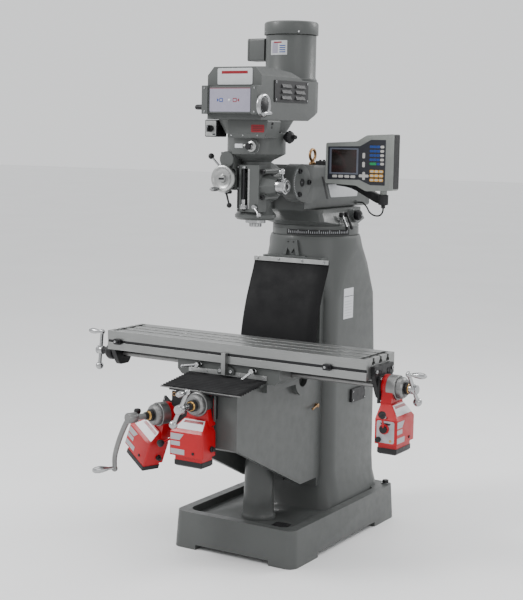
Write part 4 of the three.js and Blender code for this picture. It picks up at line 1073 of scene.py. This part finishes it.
def quill_details():
    """Quill, spindle nose, depth rod, scale and nut."""
    body = Piece("quill_sleeve")
    low, _ = corners("quill")
    body.lathe([(27, 0), (42, 0), (43, 1.5), (43, 226), (42, 228), (22, 228), (22, 20), (27, 20),
                (27, 0)], (0, QUILL_Y, low.z), UP, STEEL, 72)
    body.block((-15, -604, 1623), (7, -572, 1645), BLACKED)
    body.done("quill", "bright_steel", ["quill"])

    nose = Piece("spindle_nose")
    nose.lathe([(13, 0), (24, 0), (25, 1), (25.5, 3), (25.5, 16), (24.5, 17), (24.5, 19), (26, 20),
                (26, 33), (20, 38), (20, 235), (12.5, 240), (12.5, 585), (0, 585), (0, 92), (10, 92),
                (13, 0)], (0, QUILL_Y, 1415), UP, STEEL, 64)
    for turn in turns(12):
        spline_groove = [around((0, QUILL_Y, z), 25.2, turn) for z in (1418, 1431)]
        nose.tube(spline_groove, [1.2, 1.2], BLACKED, 8)
    nose.done("spindle", "bright_steel", ["spindle"])

    scale = Piece("quill_scale")
    scale.block((14, -625.2, 1496), (22, -623.6, 1662), ALUMINIUM)
    for i in range(26):
        wide = 6.5 if i % 5 == 0 else 4
        scale.block((15, -625.5, 1500 + 6 * i), (15 + wide, -625.1, 1500.8 + 6 * i), PANEL)
    scale.block((-38.4, -625, 1486), (-30, -623.6, 1676), BLACKED)
    scale.screws([(-34, -625, z) for z in (1494, 1580, 1668)], FRONT, 3, STEEL, 2)
    scale.done("head", "satin_aluminium", bevel=0.2)

    rod_axis = (-4, -628)
    rod = Piece("depth_rod")
    rod.tube([(*rod_axis, 1486), (*rod_axis, 1664)], [5, 5], BLACKED)
    rod.pin(9, 8, (*rod_axis, 1664), UP, STEEL)
    rod.done("head", "black_oxide")

    nut = Piece("depth_nut")
    nut.lathe([(0, 0.2), (14.5, 0.2), (15, 1), (15, 17), (14, 18), (9, 18.5), (8.6, 39.5), (0, 39.5)],
              (*rod_axis, 1494), UP, STEEL)
    for turn in turns(24):
        nut.tube([around((*rod_axis, z), 15, turn) for z in (1496, 1510)], [0.7, 0.7], STEEL, 6)
    nut.done("depth_stop", "bright_steel", ["depth_stop_nut"])


def head_controls():
    """The head's handwheels, levers and switch."""
    wheel = Piece("feed_wheel")
    wheel.lathe([(0, 0), (17, 0), (18, 2), (18, 10), (30, 12), (44, 12), (47, 9), (54, 8), (57, 10),
                 (58.5, 15), (58, 23), (55, 28), (51, 30), (46, 29), (43, 26), (38, 22), (28, 20),
                 (18, 20), (16, 24), (14.5, 32), (12, 34), (0, 34)], (-88, -638, 1619), FRONT, ALUMINIUM,
                72)
    wheel.block((-101, -674, 1615), (-75, -670, 1623), BLACKED)
    wheel.tube([(-88, -640, 1619), (-88, -606, 1619)], [7, 7], STEEL)
    grip = Vector((-0.12, -1, 0))
    wheel.lathe([(0, -2), (5, -2), (5.5, 3), (7, 8), (9.6, 22), (10, 34), (8.8, 50), (6, 58), (0, 60)],
                (-106, -658, 1575), grip, STEEL)
    wheel.done("feed_handwheel", "satin_aluminium", ["feed_handwheel"])

    speed = Piece("speed_wheel")
    wheel_hub = (138, -744, 1922)
    speed.lathe([(0, 0), (14, 0), (14, 8), (36, 9), (42, 8.5), (46, 10), (48, 14), (48, 19), (45, 25),
                 (40, 27), (36, 25), (33, 20), (14, 18), (12.5, 27), (0, 28)], wheel_hub, RIGHT, STEEL,
                72)
    speed.lathe([(0, 27.6), (24, 20.5), (31, 20.5), (31, 22), (12, 28.5), (0, 29)], wheel_hub, RIGHT,
                PLASTIC, 48)
    for turn in turns(8):
        speed.ball(around((160, *wheel_hub[1:]), 26, turn, "x"), 1.8, WHITE)
    speed.tube([(x, *wheel_hub[1:]) for x in (108, 140)], [7, 7], STEEL)
    speed.lathe([(0, -1), (5, -1), (5.5, 5), (8, 18), (9, 30), (8, 41), (5, 46), (0, 47)],
                (160, -766, 1890), RIGHT, STEEL)
    speed.done("speed_handwheel", "satin_aluminium", ["speed_handwheel"])

    brake = Piece("brake_arm")
    brake.ball((-141, -690, 1915), 10, BLACKED)
    brake.tube([(-141, -690, 1915), (-164, -690, 1915)], [6, 6], STEEL)
    brake.lathe([(0, 0), (8, 0), (10, 3), (11, 12), (11, 40), (9.5, 47), (6, 50), (0, 50)],
                (-160, -690, 1915), LEFT, PLASTIC)
    brake.done("brake_lever", "black_plastic", ["brake_lever"])

    switch = Piece("switch_plate")
    switch.prism(rounded(rectangle(-185, 1796, -133, 1860), 4), "y", -650.25, -649, ALUMINIUM)
    switch.prism(rounded(rectangle(-150, 1800, -136, 1806), 1), "y", -650.28, -650, PANEL)
    switch.done("head", "satin_aluminium", bevel=0)
    dial = Piece("switch_dial")
    dial.lathe([(0, 0), (15, 0), (14.5, 8), (13, 11.5), (0, 12)], (-160, -650.3, 1827), FRONT, PLASTIC)
    dial.prism(rounded(rectangle(-164, 1813, -156, 1841), 3), "y", -676, -660, PLASTIC)
    dial.block((-160.6, -676.3, 1832), (-159.4, -675.5, 1840), WHITE)
    dial.done("switch_knob", "black_plastic", ["switch_knob"])

    lever("trip_arm", "trip_lever", "black_oxide", "trip_lever",
          ([(0, 0), (8.5, 0), (9, 1), (9, 37), (0, 37)], (-88, -637, 1562), BACK, STEEL),
          ([(-87, -634, 1560), (-74, -642, 1534), (-62, -650, 1512)], [4.5, 4, 4], BLACKED),
          ((-60, -652, 1508), 11, PLASTIC))
    lever("quill_lock_arm", "quill_lock", "bright_steel", "quill_lock_lever",
          ([(0, 0), (11, 0), (11, 12), (9, 17.5), (0, 17.5)], (52, -624.5, 1505), FRONT, STEEL),
          ([(53, -636, 1503), (82, -650, 1478)], [4.5, 4], STEEL),
          ((86, -652, 1474), 10, STEEL))

    handle = Piece("quill_handle_hub")
    centre = (128.5, -566, 1592)
    handle.lathe([(0, -50), (10, -50), (10, 0), (31, 0.5), (33.5, 2), (34, 8), (34, 30), (32, 34),
                  (27, 36), (26, 42), (24, 44), (14, 44), (12, 41), (0, 41)], centre, RIGHT, STEEL, 64)
    handle.lathe([(0, 41), (9, 41), (9, 43), (0, 43)], centre, RIGHT, BLACKED, 6)
    for turn in turns(36):
        mark = [around((x, *centre[1:]), 34, turn, "x") for x in (140.5, 154.5)]
        handle.tube(mark, [0.6, 0.6], PANEL, 5)
    handle.tube([(154, -570, 1600), (160, -586, 1620), (168, -608, 1644)], [5.5, 5, 4.5], STEEL)
    handle.ball((171, -616, 1654), 14, STEEL)
    handle.done("quill_handle", "bright_steel", ["quill_handle"])

    lever("engage_arm", "feed_engage_lever", "black_oxide", "feed_engage_lever",
          ([(0, 0), (12, 0), (12, 16), (10, 19.5), (0, 19.5)], (-112.5, -592, 1640), LEFT,
           BLACKED),
          ([(-122, -592, 1642), (-154, -592, 1673), (-186, -592, 1704)], [5, 4.8, 4.5], STEEL),
          ((-192, -592, 1710), 13, PLASTIC))

    screws = Piece("head_screws")
    screws.screws([(76, -606, z) for z in (1546, 1652)], FRONT, 10, BLACKED)
    screws.screws([(x, -636, z) for x in (-106, -48) for z in (1580, 1656)], FRONT, 4, BLACKED, 3)
    for turn in turns(4, math.pi / 4):
        screws.screw(around((0, -476, 1602), 76, turn, "y"), FRONT, 7, BLACKED, 6)
    screws.done("head", "black_oxide")


motor_details()
belt_housing_details()
gear_housing_details()
quill_details()
head_controls()

# ---- Power feeds, cranks and screws ----


def frame_at(position, turn=0.0, roll=0.0):
    """The frame of a power feed: its shaft runs along -Y through the origin."""
    return (Matrix.Translation(position) @ Matrix.Rotation(turn, 4, "Z") @ Matrix.Rotation(roll, 4, "Y"))


def moved(piece, matrix):
    """Moves a piece that is still being drawn."""
    for vertex in piece.mesh.verts:
        vertex.co = matrix @ vertex.co
    return piece


def unit_details(name, body, matrix):
    """A red power feed: its casing, black foot, plates, screws and rings."""
    def box_outline(x0, x1, front, rear, z, corner):
        outline = rounded(rectangle(x0, front, x1, rear), corner)
        return [(x, y, z) for x, y in outline]

    (low_front, low_z), (top_front, top_z) = (-94, -102), (-57, -60)
    casing = Piece(f"{name}_casing")
    casing.block((-60, -2, -62), (58, 7.8, 46), BLACKED)
    casing.lathe([(16, -1), (48, -1), (48, 58), (16, 58), (16, -1)], (0, 0, 0), FRONT, RED, 72)
    casing.prism([(-44, -5), (-62, -86), (56, -86), (44, -5)], "y", -52, -6, RED)
    casing.loft([
        box_outline(-104, 60, -102, -6, -212, 7), box_outline(-104, 60, -102, -6, -113, 7),
        box_outline(-96, 54, low_front, -7, low_z, 7),
        box_outline(-62, 44, top_front, -9, top_z, 7)], RED)
    casing.loft([
        box_outline(-84, 48, -92, -12, -232, 5), box_outline(-84, 48, -92, -12, -210, 5)], RED)
    casing.loft([
        box_outline(-80, 44, -88, -16, -256, 4), box_outline(-86, 50, -94, -10, -250, 5),
        box_outline(-86, 50, -94, -10, -231, 5)], BLACKED)
    moved(casing, matrix).done(body, "red_paint", [f"{name}_unit"], bevel=1.2)

    plates = Piece(f"{name}_plates")

    def on_slope(points, lift, material):
        """A thin plate on the casing's sloping shoulder, from (x, z) corners."""
        run, rise = top_front - low_front, top_z - low_z
        tilt = math.atan2(run, rise)

        def at(x, z, out):
            y = low_front + (z - low_z) * run / rise
            return (x, y - out * math.cos(tilt), z + out * math.sin(tilt))
        plates.loft([[at(x, z, out) for x, z in points] for out in (-1, lift)], material)

    on_slope([(-84, -100), (50, -100), (42, -64), (-58, -64)], 0.8, WHITE)
    on_slope([(-56, -77), (40, -77), (38, -68), (-52, -68)], 1.1, PLATE_RED)
    for points in ([(-98, -120), (-34, -120), (-54, -146), (-98, -146)],
                   rectangle(-98, -170, -52, -152), rectangle(-98, -206, -30, -184)):
        plates.prism(points, "y", -102.8, -101, PALE_GREY)
    plates.prism(rounded(rectangle(-92, -206, -16, -118), 10), "x", -104.9, -103, PALE_GREY)
    plates.prism(rounded([(-78, -126), (-30, -126), (-36, -134), (-72, -134)], 2), "x", -105.2, -104,
                 PANEL)
    moved(plates, matrix).done(body, "satin_aluminium", bevel=0.2)

    fittings = Piece(f"{name}_fittings")
    fittings.lathe([(30, 22), (48.6, 22), (49.4, 23), (49.4, 60), (47, 61.5), (30, 61.5), (30, 22)],
                   (0, 0, 0), FRONT, TURNED_IRON, 72)
    fittings.pin(6, 3, (12, -102, -195), FRONT, BLACKED)
    fittings.screws([(x, -2, z) for x in (-50, 48) for z in (36, -52)], FRONT, 5.5, STEEL, 5)
    fittings.pin(5, 3, (-104, -76, -196), LEFT, BRASS, 24)
    fittings.lathe([(0, 0), (10, 0), (11, 3), (11, 13), (9, 16), (0, 16)], (-104, -26, -194), LEFT,
                   PLASTIC)
    fittings.screw((-98, -52, -104), LEFT, 5, STEEL, 8)
    fittings.lathe([(0, 0), (12, 0), (12, 6), (9, 9), (9, 16), (0, 16)], (60, -40, -180), RIGHT, BLACKED)
    moved(fittings, matrix).done(body, "black_oxide", bevel=0.4)


def feed_lever(name, matrix, angle):
    """A power feed's lever; its angle is from upright."""
    handle = Piece(f"{name}_handle")
    pivot = Vector((-104.3, -50, -150))
    forward, upward = -math.sin(angle), math.cos(angle)
    reach = Vector((-0.45, forward, upward))
    start = pivot + Vector((-10, 0, 0))
    handle.lathe([(0, 0), (20, 0), (20, 8), (18, 10), (0, 10)], pivot, LEFT, RED)
    handle.lathe([(0, 9), (15.5, 9), (15.5, 15), (13, 18), (0, 18)], pivot, LEFT, PLASTIC)
    handle.tube([start, start + reach * 30, start + reach * 54], [4.5, 4.5, 4.5], RED)
    handle.lathe([(0, 0), (8, 0), (9, 1.5), (13, 8), (15.5, 15), (15, 21), (11, 25.5), (5, 27), (0, 27)],
                 start + reach * 50, reach, PLASTIC)
    moved(handle, matrix).done(f"{name}_lever", "black_plastic", [f"{name}_lever"])


def shaft_shapes(piece, inner, outer, metal=STEEL):
    """The dial with its marks, the clutch ring and the crank's shaft."""
    piece.tube([(0, inner, 0), (0, outer, 0)], [12, 12], metal)
    piece.lathe([(0, 58.5), (41, 58.5), (43, 60), (43, 79), (41.5, 81.5), (36, 88), (0, 88)], (0, 0, 0),
                FRONT, TURNED_IRON, 72)
    for i, turn in enumerate(turns(50)):
        far = -77 if i % 5 == 0 else -70
        piece.tube([around((0, y, 0), 43, turn, "y") for y in (-61, far)], [0.5, 0.5], PANEL, 5)
    piece.lathe([(0, 87), (24, 87), (24.5, 88.5), (24.5, 99), (22, 100.5), (0, 100.5)], (0, 0, 0), FRONT,
                BLACKED, 48)
    piece.lathe([(0, 100), (18.5, 100), (19, 101), (16, 105), (19, 109), (18.5, 110), (0, 110)],
                (0, 0, 0), FRONT, BRASS, 48)
    piece.lathe([(0, 109), (16, 109), (16.5, 110), (16, 121), (0, 122)], (0, 0, 0), FRONT, BLACKED, 48)


def ball_crank_shapes(piece, y, angle, metal=STEEL):
    """A crank with a ball at one end and a turning grip at the other."""
    out = around((0, 0, 0), 1, angle, "y")
    middle = Vector((0, y, 0))
    grip, weight = middle + out * 82, middle - out * 72
    piece.lathe([(0, -16), (19, -16), (20, -14), (20, 4), (17, 10), (19, 15), (17, 18), (0, 18)], middle,
                FRONT, metal)
    piece.tube([middle, middle + out * 30, grip], [10, 8, 8.5], metal)
    piece.tube([middle, middle - out * 30, weight], [10, 8, 9], metal)
    piece.ball(grip, 13, metal)
    piece.ball(weight, 18, metal)
    piece.lathe([(0, 0), (6, 0), (6, 10), (8, 15), (10.5, 26), (13, 44), (12, 58), (8, 68), (4, 72),
                 (0, 72)], grip + Vector((0, -3, 0)), FRONT, metal)


def helix(start, axis, radius, pitch, rounds, steps):
    """Points along a thread that begins round a point; steps is per round."""
    line = []
    for i in range(rounds * steps):
        centre = Vector(start)
        centre["xyz".index(axis)] += pitch * i / steps
        line.append(around(centre, radius, 2 * math.pi * i / steps, axis))
    return line


def cranks_and_screws():
    """The feeds with their levers, the cranks on their shafts and the two screws."""
    cross = frame_at(Vector((0, -908, 716)))
    axis = Vector(JOINTS["knee_crank_turn"]["axis"])
    pivot = Vector(JOINTS["knee_crank_turn"]["pos_m"])
    at = Vector((pivot.x - TURRET_AXIS[0], pivot.y - TURRET_AXIS[1], pivot.z)) / MM
    turn = -math.atan2(-axis.x, -axis.y)
    knee_unit = frame_at(at, turn, math.radians(25))
    knee_shaft = frame_at(at, turn)
    right_end = frame_at(Vector((677, -629, 820)), math.pi / 2)
    left_end = frame_at(Vector((-673, -629, 820)), -math.pi / 2)

    for name, body, matrix, angle in (("cross_feed", "knee", cross, 1.9),
                                      ("knee_feed", "knee", knee_unit, 0),
                                      ("table_feed", "table", right_end, 0.1)):
        unit_details(name, body, matrix)
        feed_lever(name, matrix, angle)

    crank = Piece("cross_crank_arm")
    shaft_shapes(crank, 600, -180)
    ball_crank_shapes(crank, -181, 1.13)
    moved(crank, cross).done("cross_crank", "bright_steel", ["cross_crank"], bevel=0)

    crank = Piece("table_crank_arm_right")
    shaft_shapes(crank, 6, -112)
    ball_crank_shapes(crank, -121, 2.2)
    moved(crank, right_end).done("table_screw", "bright_steel", ["table_crank_right"], bevel=0)

    crank = Piece("table_crank_arm_left")
    crank.lathe([(0, 0.3), (34, 0.3), (36, 6), (36, 24), (34, 27), (30, 34), (20, 36), (18, 40), (16, 44),
                 (16, 66), (0, 66)], (0, 0, 0), FRONT, BLACKED, 64)
    ball_crank_shapes(crank, -81, 1.69)
    moved(crank, left_end).done("table_screw", "bright_steel", ["table_crank_left"], bevel=0)

    crank = Piece("knee_crank_arm")
    y = -186
    shaft_shapes(crank, 442, -180, TURNED_IRON)
    crank.lathe([(0, -22), (21, -22), (22, -20), (22, 18), (20, 22), (0, 22)], (0, y, 0), FRONT,
                TURNED_IRON)
    route = spline([(0, y, 0), (-34, y, -22), (-82, y - 4, -100), (-116, y - 6, -180),
                    (-118, y - 6, -236)], 8)
    crank.tube(route, [12 - 2.0 * i / (len(route) - 1) for i in range(len(route))], TURNED_IRON)
    crank.ball((-118, y - 6, -236), 13, TURNED_IRON)
    crank.lathe([(0, 0), (7, 0), (7, 22), (10, 30), (14, 50), (15, 64), (13, 82), (8, 92), (0, 94)],
                (-118, y - 14, -232), (-0.1, -1, 0), STEEL)
    crank.lathe([(0, 0), (10.6, 0), (19.4, 22), (19.4, 32), (0, 32)], (0, 454, 0), FRONT, TURNED_IRON)
    moved(crank, knee_shaft).done("knee_crank", "machined_iron", ["knee_crank"], bevel=0)

    screw = Piece("elevating_thread")
    screw.lathe([(0, 0), (15, 0), (16, 1), (16, 454), (0, 454)], (0, -466, 150), UP, TURNED_IRON, 40)
    thread = helix((0, -466, 168), "z", 15.6, 6.35, 60, 16)
    screw.tube(thread, [1.5] * len(thread), TURNED_IRON, 5)
    screw.lathe([(0, 0.2), (49, 0.2), (50, 1), (50, 33), (26, 42.4), (0, 42.4)], (0, -466, 597.3), UP,
                TURNED_IRON, 64)
    screw.done("elevating_screw", "machined_iron", ["elevating_screw"], bevel=0)

    lead = Piece("table_screw_thread")
    lead.tube([(-672, -629, 820), (669, -629, 820)], [12.4, 12.4], TURNED_IRON, 32)
    thread = helix((-590, -629, 820), "x", 12, 5.08, 232, 12)
    lead.tube(thread, [1.0] * len(thread), TURNED_IRON, 4)
    lead.done("table_screw", "machined_iron", ["table_leadscrew"], bevel=0)


cranks_and_screws()

# ---- Saddle and table ----


def saddle_details():
    """Cover strips, centre stop and lock levers."""
    front = corners("saddle")[0].y
    strip = Piece("cover_strip")
    strip.prism(rounded(rectangle(-193, 801, 193, 820), 2), "y", front - 3, front + 0.5, ALUMINIUM)
    strip.screws([(x, front - 3, 811) for x in (-180, -100, 60, 100, 180)], FRONT, 4, STEEL, 2)
    strip.done("saddle", "satin_aluminium", bevel=0.4)

    stop = Piece("centre_stop")
    stop.prism(rounded([(-42, 806), (38, 806), (38, 832), (20, 842), (-24, 842), (-42, 832)], 8), "y",
               front - 13, front - 3, GREY)
    stop.block((-12, front - 33, 808), (8, front - 12, 900), IRON)
    stop.screws([(x, front - 13, 822) for x in (-29, 25)], FRONT, 8, STEEL, 5)
    stop.done("saddle", "grey_paint", bevel=1.2)

    edge = Piece("cover_front_edge")
    edge.prism([(-951, 765), (-946, 765), (-946, 770), (-951, 770)], "x", -194, 194, TURNED_IRON)
    edge.block((-150, -951, 758), (150, -900, 764), BLACKED)
    edge.done("knee", "satin_aluminium", bevel=0.4)

    for side, x, tip in (("left", -135, (-57, -28, -6)), ("right", 135, (-22, -36, -28))):
        start = Vector((x, front - 28, 836))
        end = start + Vector(tip)
        lever(f"table_lock_arm_{side}", f"table_lock_{side}", "bright_steel",
              f"table_lock_lever_{side}",
              ([(0, 0.3), (11, 0.3), (11, 8), (9, 10), (9, 14), (11.5, 16), (12, 34),
                (10, 36.5), (0, 36.5)], (x, front, 836), FRONT, STEEL),
              ([start, end], [6, 5.5], STEEL), (end, 6.5, STEEL))

    lever("knee_lock_arm", "knee_lock", "bronze", "knee_lock_lever",
          ([(0, 0.3), (9, 0.3), (9, 14), (7, 16), (0, 16)], (150, -238, 610), RIGHT, BRONZE),
          ([(160, -238, 610), (164, -286, 603)], [4.5, 4], BRONZE),
          ((164, -288, 603), 6, BRONZE))


def knee_details():
    """The plate on the knee's front."""
    plate = Piece("knee_front_plate")
    front = corners("knee")[0].y
    plate.block((-148, front - 5, 618), (52, front + 1, 750), BLACKED)
    plate.block((58, front - 4, 648), (66, front + 1, 756), GREY)
    for x, z in ((13, 738), (14, 656), (-136, 738), (-136, 634)):
        plate.lathe([(4, 0), (9, 0), (9, 1.5), (4, 1.5), (4, 0)], (x, front - 5, z), FRONT, BRONZE, 32)
        plate.screw((x, front - 4.5, z), FRONT, 5, BLACKED, 4)
    plate.lathe([(0, 0), (5, 0), (4, 5), (0, 5)], (-33, front - 5, 742), FRONT, RED, 24)
    plate.done("knee", "black_oxide", bevel=0.5)


def table_details():
    """Stops, grooves, strainers and bracket bolts."""
    low, high = corners("table")
    dogs = Piece("table_stops")
    for x in (low.x + 58, high.x - 170):
        dogs.prism(rounded(rectangle(x - 18, 880, x + 18, 904), 4), "y", low.y - 12, low.y + 4, BLACKED)
        dogs.screw((x - 8, low.y - 12, 892), FRONT, 5.5, STEEL, 4)
        dogs.tube([(x + 8, low.y - 12, 892), (x + 8, low.y - 26, 892)], [5, 5], BLACKED)
    dogs.done("table", "black_oxide", bevel=0.6)

    groove = Piece("front_groove_paint")
    groove.block((low.x + 1, low.y + 1.6, 886.6), (high.x - 1, low.y + 3, 897.4), BLACKED)
    groove.done("table", "black_oxide", bevel=0)

    strips = Piece("slot_floor_shadow")
    for row in (-1, 0, 1):
        y = (low.y + high.y) / 2 + 64 * row
        strips.block((low.x + 2, y - 13.5, 910.1), (high.x - 2, y + 13.5, 910.6), BLACKED)
    strips.done("table", "black_oxide", bevel=0)

    drains = Piece("chip_strainers")
    for x in (low.x + 30, high.x - 30):
        for row in (-1.5, -0.5, 0.5, 1.5):
            y = (low.y + high.y) / 2 + 64 * row
            drains.block((x - 10, y - 20, 925), (x + 10, y + 20, 928), BLACKED)
    drains.done("table", "black_oxide", bevel=0.4)

    for side, x, out in (("left", low.x - 22, -1), ("right", high.x + 18, 1)):
        bolts = Piece(f"bracket_bolts_{side}")
        for y, z in ((-700, 884), (-558, 884)):
            bolts.screw((x, y, z), (out, 0, 0), 8, STEEL, 6)
        for y in (-668, -590):
            bolts.lathe([(0, 0), (13, 0), (13, 1.2), (10.5, 1.8), (10.5, 0.6), (0, 0.6)], (x, y, 878),
                        (out, 0, 0), PLASTIC)
        bolts.done("table", "bright_steel", bevel=0.4)


saddle_details()
knee_details()
table_details()

# ---- Floor, backdrop and light ----


def studio():
    """Floor, sky and four soft lamps."""
    floor_material = Shader("studio_floor")
    pale = floor_material.ramp(floor_material.noise(0.8, 3), [(0.3, (0.86, 0.86, 0.86)),
                                                              (0.7, (0.89, 0.89, 0.89))])
    floor_material.finish(pale, floor_material.scaled(floor_material.noise(3, 3), 0.5, 0.6))
    floor = bmesh.new()
    bmesh.ops.create_grid(floor, x_segments=8, y_segments=8, size=45)
    data = bpy.data.meshes.new("studio_floor")
    floor.to_mesh(data)
    floor.free()
    data.materials.append(floor_material.material)
    ground = linked("studio_floor", data)

    world = bpy.data.worlds.new("studio")
    world.use_nodes = True
    world.node_tree.nodes["Background"].inputs["Color"].default_value = (0.93, 0.94, 0.95, 1)
    world.node_tree.nodes["Background"].inputs["Strength"].default_value = 1.15
    bpy.context.scene.world = world

    lamps = (("key", (-3.2, -3.4, 4.6), 230, 1.6), ("fill", (4.2, -2.2, 2.6), 40, 2.6),
             ("rim", (2.6, 3.6, 3.8), 120, 1.8), ("top", (0.0, -0.6, 5.0), 60, 3.0))
    target = Vector((0, -0.1, 1.2))
    for name, position, power, size in lamps:
        lamp = bpy.data.lights.new(name, "AREA")
        lamp.energy = power
        lamp.size = size
        holder = linked(name, lamp)
        holder.location = position
        holder.rotation_euler = (target - Vector(position)).to_track_quat("-Z", "Y").to_euler()


studio()
